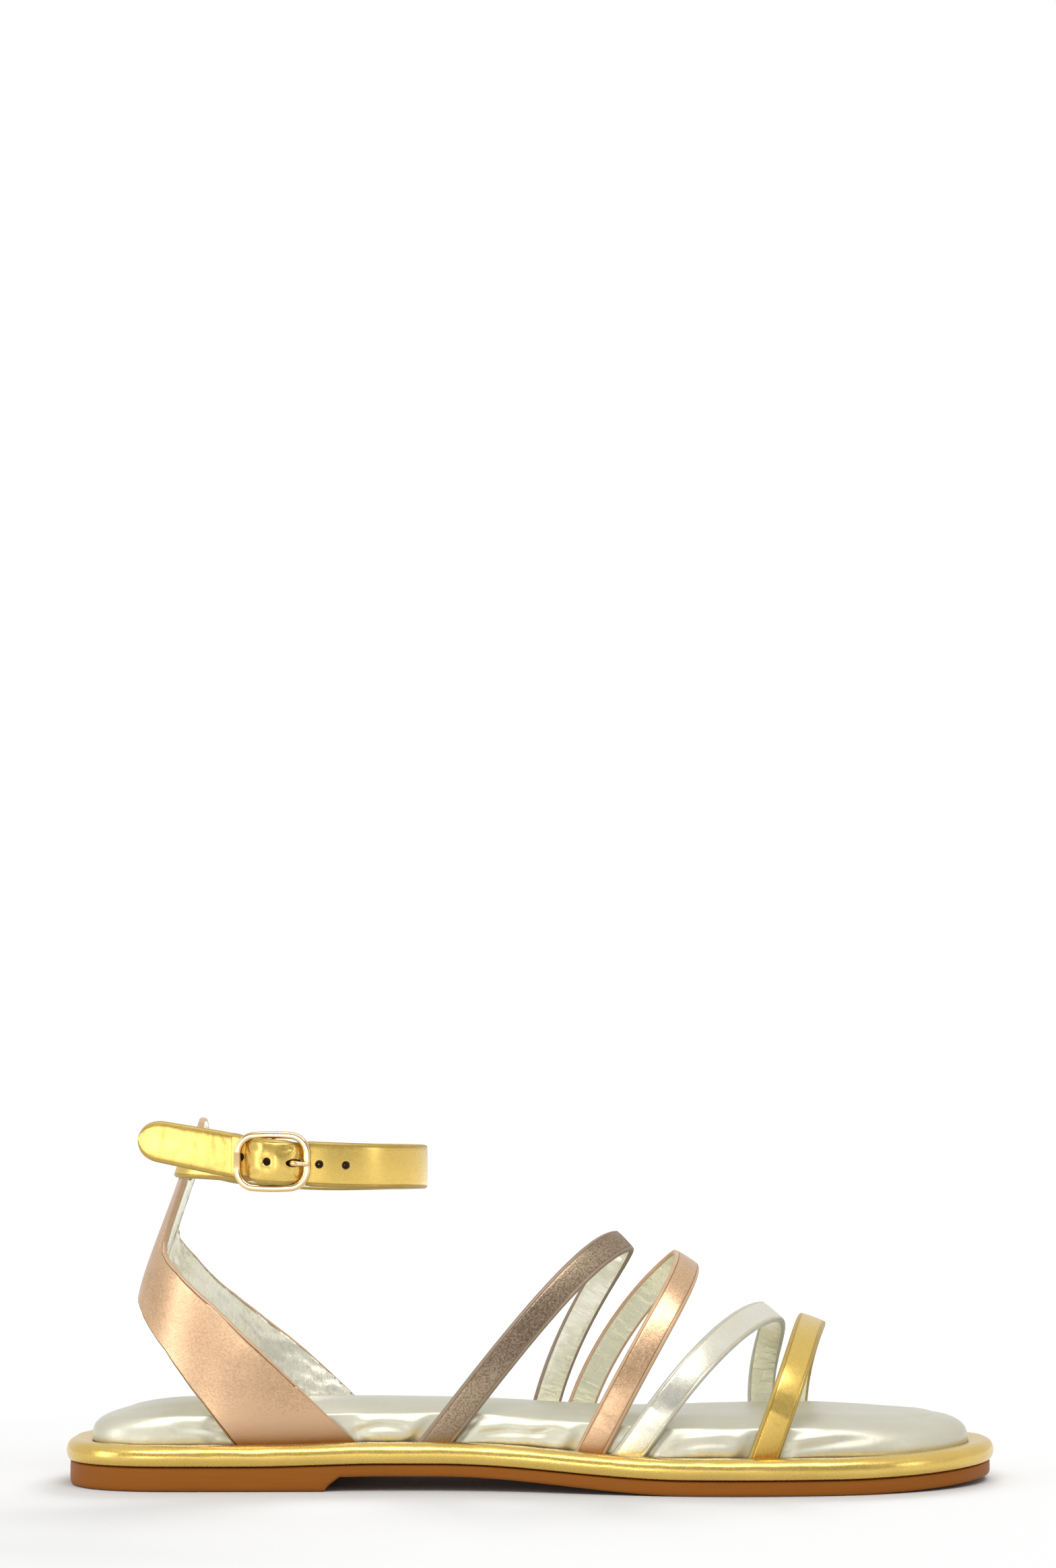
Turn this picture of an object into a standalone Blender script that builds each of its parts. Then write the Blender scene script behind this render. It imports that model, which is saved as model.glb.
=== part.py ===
"""A flat strappy sandal for the right foot: a moulded outsole, a wrapped platform rand, a padded
footbed, four slim ribbon straps over the foot, a heel strap with a slotted tab, and an ankle
strap that weaves through the tab and closes with a centre-bar buckle and prong.

Toe along +X, lateral side along -Y, up +Z. The origin is on the floor, under the middle of the
sole's length and width."""

import math

import bmesh
import bpy
from mathutils import Vector
from mathutils.geometry import interpolate_bezier

MM = 0.001
SMALL = 0.3 * MM
UP = Vector((0, 0, 1))
LATERAL, MEDIAL = -1, 1

# Sole
SOLE_LENGTH = 254.6 * MM
BALL_WIDTH = 81 * MM
HEEL_ROUND = 32 * MM
HEEL_SQUARENESS = 2.6
TOE_ROUND = 54 * MM
TOE_SQUARENESS = 2.1
STATION_STEP = 7.0 * MM
PAD_STATION_STEP = 3.2 * MM
HEEL_ARC_STEPS = 11
TOE_ARC_STEPS = 13

# The outline, as (station along the sole, centre and half width as shares of the ball width)
OUTLINE = (
    (0.00, 0.000, 0.355),
    (0.12, 0.000, 0.364),
    (0.25, -0.008, 0.352),
    (0.37, -0.032, 0.318),
    (0.47, -0.052, 0.318),
    (0.57, -0.058, 0.380),
    (0.65, -0.036, 0.446),
    (0.73, -0.004, 0.486),
    (0.80, 0.018, 0.490),
    (0.90, 0.052, 0.489),
    (1.00, 0.086, 0.485),
)

# Outsole
HEEL_BLOCK = 6.3 * MM
WAIST_SEAT = 7.0 * MM
FOREFOOT_OUTSOLE = 3.9 * MM
WAIST_OUTSOLE = 3.1 * MM
TOE_SPRING = 1.6 * MM
BREAST = 0.2827
BREAST_RUN = 4.0 * MM
BREAST_CURVE = 0.7
WAIST_RISE = (0.20, 0.34)
WAIST_FALL = (0.40, 0.66)
SPRING_START = 0.815
OUTSOLE_INSET = 1.1 * MM
# How the outsole's edge rolls under, as (inset, height) shares of the two sizes below
EDGE_ROLL_WIDTH = 7.0 * MM
EDGE_ROLL_HEIGHT = 1.1 * MM
EDGE_ROLL = ((1.0, 0.0), (0.28, 0.30), (0.06, 1.0), (0.0, 1.75))

# Rand: the wrapped platform, a tray that holds the footbed
SEAM = 0.3 * MM
RAND_HEIGHT = 5.8 * MM
RAND_WIDTH = 7.6 * MM
RECESS_FLOOR = 2.0 * MM
# Its padded side, as (inset share of the width, height share)
RAND_SIDE = (
    (0.17, 0.00),
    (0.05, 0.14),
    (0.00, 0.42),
    (0.05, 0.72),
    (0.22, 0.94),
    (0.50, 1.00),
    (0.82, 0.93),
    (1.00, 0.80),
)

# Straps
STRAP_WALL = 1.7 * MM
STRAP_WIDTH = 7.8 * MM
STRAP_EDGE = 0.4 * MM
GROOVE_PLAY = 0.35 * MM
GROOVE = RAND_WIDTH + GROOVE_PLAY + STRAP_WALL / 2
ARCH_STEPS = 10
ARCH_ROUNDNESS = 0.58

# Footbed pad
PAD_MARGIN = 7.2 * MM
PAD_HEIGHT = 12.5 * MM
PAD_TOE_THINNING = 1.8 * MM
PAD_THINNING_SPAN = (0.78, 0.95)
NOTCH_PLAY = 0.9 * MM
NOTCH_FADE = 3.0 * MM
PAD_TUCK = GROOVE + STRAP_WALL / 2 + NOTCH_PLAY - PAD_MARGIN
# Its side, as (tuck share inward, height share); the side bulges out over the rand
PAD_SIDE = (
    (1.00, 0.00),
    (1.00, 0.19),
    (0.35, 0.26),
    (0.00, 0.33),
    (-0.05, 0.46),
    (0.05, 0.64),
    (0.32, 0.84),
    (1.05, 0.97),
    (2.20, 1.00),
)

# The four straps over the foot: where each leaves the sole on both sides and where it crowns, as
# stations along the sole; its lean out of the sole, forward; the crown's height as a share of the
# instep height; how far the ribbon faces forward at its crown; and how round the crown is
INSTEP_HEIGHT = 65.3 * MM
CROWN_Y = 0.06
FOOT_STRAPS = (
    # name, lateral station, lean, medial station, lean, crown station, height, tilt, roundness
    ("instep_strap_taupe", 0.3963, 38.0, 0.5057, 16.0, 0.5990, 0.989, 46, 0.45),
    ("instep_strap_rose", 0.5595, 27.5, 0.5405, 21.5, 0.6657, 0.917, 32, 0.62),
    ("forefoot_strap_silver", 0.5985, 35.5, 0.7565, -1.0, 0.7556, 0.692, 42, 0.45),
    ("toe_strap_gold", 0.7398, 20.6, 0.7895, 5.0, 0.8047, 0.658, 20, 0.50),
)

# Heel strap: a band round the heel that rises into a slotted tab
HEEL_STRAP_WALL = 1.65 * MM
TAB_TOP = 98.9 * MM
TAB_DROP = 10.6 * MM
TAB_STRIP_HEIGHT = TAB_TOP - TAB_DROP
CUP_CENTRE = -0.2448
CUP_ROWS = 8
MEDIAL_LEAD = 0.093
HEEL_BASE_TURN = 107.3
HEEL_BACK_TURN = 71.4
# The cup that the band lies on, as (height share of the tab's top, rear reach as a share of the
# sole's length, half width as a share of the ball width)
HEEL_CUP = (
    (0.11, 0.4434, 0.280),
    (0.30, 0.4374, 0.300),
    (0.50, 0.4247, 0.312),
    (0.585, 0.4156, 0.320),
    (0.75, 0.3923, 0.342),
    (0.89, 0.3730, 0.358),
    (1.00, 0.3583, 0.358),
)
# The band's edges, as (turn from the back in degrees, lower and upper height as tab top shares)
HEEL_BAND = (
    (0.0, 0.495, 1.000),
    (7.0, 0.490, 0.998),
    (12.0, 0.479, 0.988),
    (15.8, 0.469, 0.972),
    (18.0, 0.463, 0.946),
    (19.0, 0.460, 0.890),
    (19.2, 0.459, 0.790),
    (19.8, 0.456, 0.710),
    (21.5, 0.449, 0.662),
    (25.0, 0.436, 0.632),
    (32.0, 0.404, 0.606),
    (40.0, 0.364, 0.580),
    (49.0, 0.300, 0.542),
    (58.6, 0.222, 0.497),
    (66.0, 0.150, 0.452),
    (71.4, 0.095, 0.415),
    (76.5, 0.060, 0.380),
    (82.0, 0.060, 0.338),
    (89.0, 0.060, 0.279),
    (98.0, 0.060, 0.200),
    (107.3, 0.060, 0.125),
)
# On the medial side the upper edge flares out of the tab sooner, by a tab top share
MEDIAL_FLARE = 0.032
FLARE_TURNS = (19, 23, 28, 62)
BASE_BLEND = (12 * MM, 38 * MM)
BAND_BASE = HEEL_CUP[0][0] * TAB_TOP
BAND_FOOT_LEAD = 6 * MM
BAND_FOOT_SLOPE = -0.25

# Ankle strap
ANKLE_WIDTH = 12.1 * MM
ANKLE_WALL = 1.7 * MM
ANKLE_PLAY = 0.35 * MM
LOOP_FRONT = -29.93 * MM
LOOP_HALF_WIDTH = 29.0 * MM
LOOP_STEP = 2.6 * MM
LOOP_STEPS = 720
WEAVE_STEP = 0.75 * MM
SLIT_INNER = 2.2 * MM
SLIT_OUTER = 7.6 * MM
SLIT_PLAY = 0.5 * MM
SLIT_DEPTH = 8 * MM
WEAVE_HOLD = 2.5 * MM
WEAVE_FADE = 13 * MM
BUCKLE_PINCH = 0.82
PINCH_FADE = (8 * MM, 15 * MM)
UNDERLAP_FADE = (16 * MM, 34 * MM)
FOLD_FADE = 6 * MM
FOLD_THINNING = 9 * MM
FOLD_RUN_OUT = 0.6 * MM
TAIL_START = 1.5 * MM
TAB_LEAN_FADE = (9 * MM, 30 * MM)
TAIL_LENGTH = 26.4 * MM
TAIL_RISE = 10.5
TAIL_SPLAY = 4.0
TAIL_TAPER = 0.90
TAIL_ROUND = 6.5 * MM
TAIL_TURN = 10 * MM
TAIL_STEPS = (4 * MM, 10 * MM, 16 * MM)
TAIL_TIP_STEPS = 5
TAIL_TIP_CUT = 0.95
TAIL_SQUARENESS = 2.2
# The middle of the strap's width, as (share of the loop from the buckle bar, height share)
ANKLE_HEIGHTS = (
    (0.00, 0.989),
    (0.10, 0.998),
    (0.18, 1.000),
    (0.28, 1.000),
    (0.35, 0.972),
    (0.47, 0.951),
    (0.60, 0.957),
    (0.74, 0.968),
    (0.88, 0.976),
    (1.00, 0.989),
    (1.06, 1.006),
)
# Holes
HOLE_RADIUS = 1.1 * MM
HOLE_PITCH = 7.1 * MM
HOLE_FIRST = -9.0 * MM
HOLE_COUNT = 5
PRONG_HOLE = 2
PRONG_SLOT = 5.0 * MM
PRONG_SLOT_DEPTH = 6.6 * MM
HOLE_SIDES = 12

# Buckle
BUCKLE_BAR = -69.63 * MM
BUCKLE_LENGTH = 21.3 * MM
BUCKLE_HEIGHT = 16.2 * MM
BUCKLE_CORNER = 4.3 * MM
CORNER_STEPS = 4
BUCKLE_BOW = 0.7 * MM
BUCKLE_WIRE = 0.95 * MM
BUCKLE_STANDOFF = 1.3 * MM
BAR_SET = 1.3 * MM
BAR_RADIUS = 0.65 * MM
FOLD_WALL = 1.0 * MM
FOLD_PLAY = 0.25 * MM
FOLD_LENGTH = 2.0 * MM
FOLD_SLOT = 3.0 * MM
FOLD_SLOT_LEAD = 0.4 * MM
FOLD_STEPS = 8
PRONG_RADIUS = 0.8 * MM
PRONG_SLEEVE = 0.65 * MM
PRONG_SLEEVE_WIDTH = 2.2 * MM
SLEEVE_STEPS = 16
# The prong's middle line, as (share of the way from its sleeve to the front bar's outer edge,
# share of the rise from the centre bar to the front bar's top)
PRONG_RISE = (
    (0.00, 0.00),
    (0.15, 0.03),
    (0.32, 0.34),
    (0.49, 0.85),
    (0.67, 1.03),
    (0.90, 1.00),
    (1.02, 0.95),
)

COLOURS = {
    # name: (base colour, metallic, roughness)
    "outsole": ((0.30, 0.12, 0.045), 0.0, 0.55),
    "gold": ((0.73, 0.50, 0.13), 0.9, 0.32),
    "silver": ((0.72, 0.70, 0.62), 0.9, 0.30),
    "rose": ((0.72, 0.45, 0.29), 0.8, 0.38),
    "taupe": ((0.24, 0.18, 0.14), 0.7, 0.42),
    "buckle": ((0.80, 0.60, 0.36), 1.0, 0.16),
}


def ease(value, low=0.0, high=1.0):
    """A smooth step from 0 at low to 1 at high."""
    share = min(max((value - low) / (high - low), 0.0), 1.0)
    return share * share * (3 - 2 * share)


def read_rows(rows, at):
    """The columns of a table at one value of its first column, on a smooth curve through the rows."""
    at = min(max(at, rows[0][0]), rows[-1][0])
    index = max(i for i, row in enumerate(rows[:-1]) if row[0] <= at)
    start, end = rows[index], rows[index + 1]
    before = rows[max(index - 1, 0)]
    after = rows[min(index + 2, len(rows) - 1)]
    span = end[0] - start[0]
    share = (at - start[0]) / span
    values = []
    for column in range(1, len(start)):
        slope_in = (end[column] - before[column]) / (end[0] - before[0])
        slope_out = (after[column] - start[column]) / (after[0] - start[0])
        values.append(
            start[column] * (1 + 2 * share) * (1 - share) ** 2
            + slope_in * span * share * (1 - share) ** 2
            + end[column] * share**2 * (3 - 2 * share)
            + slope_out * span * share**2 * (share - 1)
        )
    return values


def read_straight(rows, at):
    """The columns of a table at one value of its first column, on straight lines between rows."""
    at = min(max(at, rows[0][0]), rows[-1][0])
    index = max(i for i, row in enumerate(rows[:-1]) if row[0] <= at)
    start, end = rows[index], rows[index + 1]
    share = (at - start[0]) / (end[0] - start[0])
    return [a + (b - a) * share for a, b in zip(start[1:], end[1:])]


# Sole outline and heights


def station_x(share):
    return (share - 0.5) * SOLE_LENGTH


def end_round(x):
    """The share of the half width that is left where the heel and the toe round off."""
    heel = 1 - (x + SOLE_LENGTH / 2) / HEEL_ROUND
    toe = 1 - (SOLE_LENGTH / 2 - x) / TOE_ROUND
    if heel > 0:
        return max(1 - heel**HEEL_SQUARENESS, 0) ** (1 / HEEL_SQUARENESS)
    if toe > 0:
        return max(1 - toe**TOE_SQUARENESS, 0) ** (1 / TOE_SQUARENESS)
    return 1.0


def raw_edges(x):
    """The sole's lateral and medial Y at a place along it, before it is centred."""
    centre, half = read_rows(OUTLINE, x / SOLE_LENGTH + 0.5)
    half *= end_round(x)
    return (centre - half) * BALL_WIDTH, (centre + half) * BALL_WIDTH


def stations(step, extra=()):
    """Places along the sole: close together where the ends round off, then even."""
    rear, front = -SOLE_LENGTH / 2, SOLE_LENGTH / 2
    places = []
    for index in range(HEEL_ARC_STEPS):
        turn = math.pi / 2 * index / HEEL_ARC_STEPS
        places.append(rear + HEEL_ROUND * (1 - math.cos(turn)))
    middle = front - TOE_ROUND - (rear + HEEL_ROUND)
    count = round(middle / step)
    places += [rear + HEEL_ROUND + middle * index / count for index in range(count + 1)]
    for index in range(1, TOE_ARC_STEPS + 1):
        turn = math.pi / 2 * index / TOE_ARC_STEPS
        places.append(front - TOE_ROUND + TOE_ROUND * math.sin(turn))
    kept = [x for x in places if all(abs(x - other) > step / 4 for other in extra)]
    return sorted(kept + list(extra))


OUTLINE_SHIFT = -sum(
    pick(raw_edges(x)[side] for x in stations(STATION_STEP)) / 2
    for pick, side in ((min, 0), (max, 1))
)


def edges(x):
    lateral, medial = raw_edges(x)
    return lateral + OUTLINE_SHIFT, medial + OUTLINE_SHIFT


def ring(places, inset):
    """The sole's closed outline, moved inward: from the rear tip along the lateral side to the
    toe tip, and back along the medial side. inset is a length, or a function of the side and of
    the x that the point has on the straps' groove."""
    lateral = [Vector((x, edges(x)[0])) for x in places]
    medial = [Vector((x, edges(x)[1])) for x in places[-2:0:-1]]
    points = lateral + medial
    moved = []
    for index, point in enumerate(points):
        along = points[(index + 1) % len(points)] - points[index - 1]
        inward = Vector((-along.y, along.x)).normalized()
        side = LATERAL if index < len(places) else MEDIAL
        depth = inset((point + inward * GROOVE).x, side) if callable(inset) else inset
        moved.append(point + inward * depth)
    return moved


def seat_height(x):
    """The outsole's top: a level heel, a raised waist, a low forefoot and a sprung toe."""
    share = x / SOLE_LENGTH + 0.5
    rise = (WAIST_SEAT - HEEL_BLOCK) * ease(share, *WAIST_RISE)
    fall = (WAIST_SEAT - FOREFOOT_OUTSOLE) * ease(share, *WAIST_FALL)
    spring = max(share - SPRING_START, 0) / (1 - SPRING_START)
    return HEEL_BLOCK + rise - fall + TOE_SPRING * spring**2


def tread_height(x):
    """The outsole's underside: on the floor at heel and forefoot, lifted at waist and toe."""
    breast_top = station_x(BREAST) + BREAST_RUN
    if x <= station_x(BREAST):
        return 0.0
    share = x / SOLE_LENGTH + 0.5
    wall = WAIST_OUTSOLE + (FOREFOOT_OUTSOLE - WAIST_OUTSOLE) * ease(share, *WAIST_FALL)
    lifted = seat_height(x) - wall
    if x >= breast_top:
        return lifted
    climb = (x - station_x(BREAST)) / BREAST_RUN
    return lifted * climb**BREAST_CURVE


def groove_point(x, side, depth=GROOVE):
    """The point at x on the line where the straps go down, and the line's direction there."""
    index = 0 if side == LATERAL else 1
    at = x
    for _ in range(4):
        along = Vector((2 * SMALL, edges(at + SMALL)[index] - edges(at - SMALL)[index]))
        along.normalize()
        inward = Vector((-along.y, along.x)) * -side
        point = Vector((at, edges(at)[index])) + inward * depth
        at += x - point.x
    return Vector((point.x, point.y, 0)), Vector((along.x, along.y, 0))


# Scene and mesh helpers


def clear_scene():
    for obj in list(bpy.data.objects):
        bpy.data.objects.remove(obj, do_unlink=True)


def make_collection(name):
    collection = bpy.data.collections.new(name)
    bpy.context.scene.collection.children.link(collection)
    return collection


def make_material(name):
    colour, metallic, roughness = COLOURS[name]
    material = bpy.data.materials.new(name)
    material.use_nodes = True
    shader = material.node_tree.nodes["Principled BSDF"]
    shader.inputs["Base Color"].default_value = (*colour, 1)
    shader.inputs["Metallic"].default_value = metallic
    shader.inputs["Roughness"].default_value = roughness
    material.diffuse_color = (*colour, 1)
    return material


def add_object(name, mesh, collection, material=None):
    obj = bpy.data.objects.new(name, mesh)
    collection.objects.link(obj)
    if material:
        mesh.materials.append(material)
        mesh.shade_smooth()
        mesh.set_sharp_from_angle(angle=math.radians(35))
    return obj


def mesh_from(name, points, faces):
    mesh = bpy.data.meshes.new(name)
    mesh.from_pydata([tuple(point) for point in points], [], faces)
    shape = bmesh.new()
    shape.from_mesh(mesh)
    bmesh.ops.recalc_face_normals(shape, faces=shape.faces)
    shape.to_mesh(mesh)
    shape.free()
    return mesh


def loft_rings(name, rings):
    """A closed solid through rings of the sole's outline. The first and last are closed across,
    from each lateral point to the medial point beside it."""
    count = len(rings[0])
    points = [point for one in rings for point in one]
    faces = []
    for level in range(len(rings) - 1):
        low, high = level * count, (level + 1) * count
        for index in range(count):
            after = (index + 1) % count
            faces.append((low + index, low + after, high + after, high + index))
    for base, flipped in ((0, True), ((len(rings) - 1) * count, False)):
        for index in range(count // 2):
            across = [index, index + 1, count - index - 1, (count - index) % count]
            corners = list(dict.fromkeys(base + corner for corner in across))
            faces.append(tuple(reversed(corners)) if flipped else tuple(corners))
    return mesh_from(name, points, faces)


def sweep(name, frames):
    """A closed strip through frames of (centre, across, outward, half width, half wall), with
    narrow chamfers along its four edges."""
    points, faces = [], []
    for centre, across, outward, half, wall in frames:
        edge = min(STRAP_EDGE, wall * 0.6, half * 0.5)
        corners = (
            (-half, -wall + edge),
            (-half + edge, -wall),
            (half - edge, -wall),
            (half, -wall + edge),
            (half, wall - edge),
            (half - edge, wall),
            (-half + edge, wall),
            (-half, wall - edge),
        )
        points += [centre + across * side + outward * out for side, out in corners]
    size = 8
    for index in range(len(frames) - 1):
        for corner in range(size):
            after = (corner + 1) % size
            low, high = index * size, (index + 1) * size
            faces.append((low + corner, low + after, high + after, high + corner))
    faces.append(tuple(reversed(range(size))))
    last = (len(frames) - 1) * size
    faces.append(tuple(range(last, last + size)))
    return mesh_from(name, points, faces)


def strip_modifiers(obj, wall):
    solidify = obj.modifiers.new("wall", "SOLIDIFY")
    solidify.thickness = wall
    solidify.offset = 0
    solidify.use_even_offset = True
    bevel = obj.modifiers.new("edge", "BEVEL")
    bevel.width = STRAP_EDGE
    bevel.segments = 1
    bevel.limit_method = "ANGLE"
    bevel.angle_limit = math.radians(55)


def cut(obj, cutter):
    boolean = obj.modifiers.new(cutter.name, "BOOLEAN")
    boolean.operation = "DIFFERENCE"
    boolean.object = cutter


def hide_cutter(obj):
    obj.hide_render = True
    obj.display_type = "WIRE"


# Sole pieces


def outsole_mesh():
    breast = station_x(BREAST)
    places = stations(STATION_STEP, (breast, breast + BREAST_RUN / 3, breast + BREAST_RUN))
    rings = []
    for tuck, rise in EDGE_ROLL:
        outline = ring(places, OUTSOLE_INSET + EDGE_ROLL_WIDTH * tuck)
        height = EDGE_ROLL_HEIGHT * rise
        rings.append([Vector((p.x, p.y, tread_height(x) + height)) for p, x in paired(outline, places)])
    outline = ring(places, OUTSOLE_INSET)
    rings.append([Vector((p.x, p.y, seat_height(x))) for p, x in paired(outline, places)])
    return loft_rings("outsole", rings)


def paired(outline, places):
    """Each point of a ring with the station that it belongs to."""
    return zip(outline, list(places) + list(places[-2:0:-1]))


def rand_mesh():
    places = stations(STATION_STEP)
    rings = []
    for tuck, rise in RAND_SIDE:
        height = SEAM + (RAND_HEIGHT - SEAM) * rise
        outline = ring(places, RAND_WIDTH * tuck)
        rings.append([Vector((p.x, p.y, seat_height(p.x) + height)) for p in outline])
    outline = ring(places, RAND_WIDTH)
    rings.append([Vector((p.x, p.y, seat_height(p.x) + RECESS_FLOOR)) for p in outline])
    return loft_rings("rand", rings)


def strap_feet():
    """Where each strap enters the groove, as (side, rear x, front x, lean as a slope)."""
    feet = []
    for _, lateral, lean_out, medial, lean_in, *_ in FOOT_STRAPS:
        for side, station, lean in ((LATERAL, lateral, lean_out), (MEDIAL, medial, lean_in)):
            half = STRAP_WIDTH / 2 / math.cos(math.radians(lean))
            middle = station_x(station)
            feet.append((side, middle - half, middle + half, math.tan(math.radians(lean))))
    for side in (LATERAL, MEDIAL):
        rear = heel_strap_point(HEEL_BACK_TURN, BAND_BASE, side)
        front = heel_strap_point(HEEL_BASE_TURN, BAND_BASE, side)
        feet.append((side, rear.x - BAND_FOOT_LEAD, front.x, BAND_FOOT_SLOPE))
    return feet


def notch_share(x, side, rise):
    """How far the pad's side gives way to a strap, from 0 to 1, at a height above the groove."""
    share = 0.0
    for foot_side, rear, front, slope in strap_feet():
        if foot_side != side:
            continue
        shift = slope * rise
        outside = max(rear + shift - NOTCH_PLAY - x, x - front - shift - NOTCH_PLAY, 0)
        share = max(share, 1 - ease(outside, 0, NOTCH_FADE))
    return share


def pad_top(x):
    share = x / SOLE_LENGTH + 0.5
    return RECESS_FLOOR + SEAM + PAD_HEIGHT - PAD_TOE_THINNING * ease(share, *PAD_THINNING_SPAN)


def pad_mesh():
    places = stations(PAD_STATION_STEP)
    lip = RAND_HEIGHT * RAND_SIDE[-1][1]
    rings = []
    for tuck, rise in PAD_SIDE:
        above = RECESS_FLOOR + SEAM + PAD_HEIGHT * rise - lip

        def inset(x, side, tuck=tuck, above=above):
            notch = notch_share(x, side, above)
            return PAD_MARGIN + PAD_TUCK * (tuck + max(1 - tuck, 0) * notch)

        outline = ring(places, inset)
        rings.append(
            [
                Vector((p.x, p.y, seat_height(p.x) + RECESS_FLOOR + SEAM))
                + UP * (pad_top(p.x) - RECESS_FLOOR - SEAM) * rise
                for p in outline
            ]
        )
    return loft_rings("footbed_pad", rings)


# Straps over the foot


def strap_foot(x, side, lean, lip):
    """The ribbon's frames where it climbs along the groove beside the pad, as (centre, outward),
    and the direction that it leaves in."""
    climb_height = pad_top(x) - lip
    frames = []
    for share in (0.0, 0.5, 1.0):
        shift = math.tan(lean) * climb_height * share
        foot, along = groove_point(x + shift, side)
        outward = Vector((along.y, -along.x, 0)) * -side
        foot.z = seat_height(x) + lip + climb_height * share
        frames.append((foot, outward))
    return frames, UP * math.cos(lean) + along * math.sin(lean)


def strap_path(row):
    """The ribbon's frames from the lateral foot over the crown to the medial foot, as
    (centre, outward)."""
    _, lateral, lean_out, medial, lean_in, crown, height, tilt, roundness = row
    crown_normal = Vector((math.sin(math.radians(tilt)), 0, math.cos(math.radians(tilt))))
    peak = Vector((station_x(crown), CROWN_Y * BALL_WIDTH, height * INSTEP_HEIGHT))
    lip = RAND_HEIGHT * RAND_SIDE[-1][1]
    feet = []
    for side, station, lean in ((LATERAL, lateral, lean_out), (MEDIAL, medial, lean_in)):
        feet.append(strap_foot(station_x(station), side, math.radians(lean), lip))
    across = feet[1][0][-1][0] - feet[0][0][-1][0]
    across.z = 0
    across.normalize()
    halves = []
    for (foot, climb), sign in zip(feet, (1, -1)):
        top, outward = foot[-1]
        rise = (peak.z - top.z) / climb.z * ARCH_ROUNDNESS
        reach = abs(peak.y - top.y) / across.y * roundness
        arch = interpolate_bezier(
            top, top + climb * rise, peak - across * sign * reach, peak, ARCH_STEPS + 1
        )
        half = foot[:-1]
        for index, point in enumerate(arch):
            turn = ease(index / ARCH_STEPS)
            half.append((Vector(point), outward.lerp(crown_normal, turn).normalized()))
        halves.append(half)
    return halves[0] + halves[1][-2::-1]


def strap_mesh(row):
    """An open ribbon along the strap's path. Its two ends are cut level, just over the floor of
    the rand's recess."""
    path = strap_path(row)
    points = []
    for index, (centre, outward) in enumerate(path):
        before = path[max(index - 1, 0)][0]
        after = path[min(index + 1, len(path) - 1)][0]
        along = (after - before).normalized()
        across = along.cross(outward).normalized()
        if index in (0, len(path) - 1):
            for side in (1, -1):
                corner = centre + across * side * STRAP_WIDTH / 2
                for _ in range(3):
                    floor = seat_height(corner.x) + RECESS_FLOOR + SEAM
                    corner -= along * ((corner.z - floor) / along.z)
                points.append(corner)
        else:
            points += [centre + across * side * STRAP_WIDTH / 2 for side in (1, -1)]
    faces = [(2 * i, 2 * i + 1, 2 * i + 3, 2 * i + 2) for i in range(len(path) - 1)]
    return mesh_from(row[0], points, faces)


# Heel strap


def heel_strap_point(turn, height, side):
    """A point of the heel strap's middle surface, by its turn from the back and its height."""
    reach, half = read_rows(HEEL_CUP, height / TAB_TOP)
    centre = CUP_CENTRE * SOLE_LENGTH
    lead = MEDIAL_LEAD * turn / HEEL_BASE_TURN if side == MEDIAL else 0.0
    angle = math.radians(turn * (1 + lead))
    x = centre - (reach * SOLE_LENGTH + centre) * math.cos(angle)
    y = half * BALL_WIDTH * math.sin(angle) * side
    low = 1 - ease(height, *BASE_BLEND)
    if low > 0 and turn > HEEL_BACK_TURN / 2:
        y += (groove_point(x, side)[0].y - y) * low * ease(turn, HEEL_BACK_TURN / 2, HEEL_BACK_TURN)
    return Vector((x, y, height))


def band_edges(turn, side):
    """The band's lower and upper height at a turn from the back."""
    low, high = read_straight(HEEL_BAND, turn)
    if side == MEDIAL:
        start, full, fade, end = FLARE_TURNS
        high += MEDIAL_FLARE * ease(turn, start, full) * (1 - ease(turn, fade, end))
    return low * TAB_TOP, high * TAB_TOP


def heel_strap_mesh():
    turns = [row[0] for row in HEEL_BAND]
    columns = [(turn, LATERAL) for turn in reversed(turns)]
    columns += [(turn, MEDIAL) for turn in turns[1:]]
    points, faces = [], []
    for turn, side in columns:
        low, high = band_edges(turn, side)
        if turn >= HEEL_BACK_TURN:
            x = heel_strap_point(turn, BAND_BASE, side).x
            low = seat_height(x) + RECESS_FLOOR + SEAM
        for row in range(CUP_ROWS + 1):
            height = low + (high - low) * row / CUP_ROWS
            points.append(heel_strap_point(turn, height, side))
    size = CUP_ROWS + 1
    for column in range(len(columns) - 1):
        for row in range(CUP_ROWS):
            base = column * size + row
            faces.append((base, base + size, base + size + 1, base + 1))
    return mesh_from("heel_strap", points, faces)


def slit_cutter(side, cutters):
    """The box that cuts one vertical slit of the tab, turned to lean with the tab."""
    bpy.ops.mesh.primitive_cube_add(size=1)
    obj = bpy.context.object
    obj.name = f"slit_{'medial' if side == MEDIAL else 'lateral'}"
    middle = (SLIT_INNER + SLIT_OUTER) / 2
    half = read_rows(HEEL_CUP, TAB_STRIP_HEIGHT / TAB_TOP)[1] * BALL_WIDTH
    turn = math.degrees(math.asin(middle / half))
    back = heel_strap_point(turn, TAB_STRIP_HEIGHT, side)
    top = heel_strap_point(turn, TAB_TOP, side)
    lean = math.atan2(top.x - back.x, top.z - back.z)
    obj.location = (back.x, middle * side, TAB_STRIP_HEIGHT)
    obj.rotation_euler = (0, lean, 0)
    height = (ANKLE_WIDTH + 2 * SLIT_PLAY) / math.cos(lean)
    obj.scale = (SLIT_DEPTH, SLIT_OUTER - SLIT_INNER, height)
    for owner in obj.users_collection:
        owner.objects.unlink(obj)
    cutters.objects.link(obj)
    hide_cutter(obj)
    return obj


# Ankle strap


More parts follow.
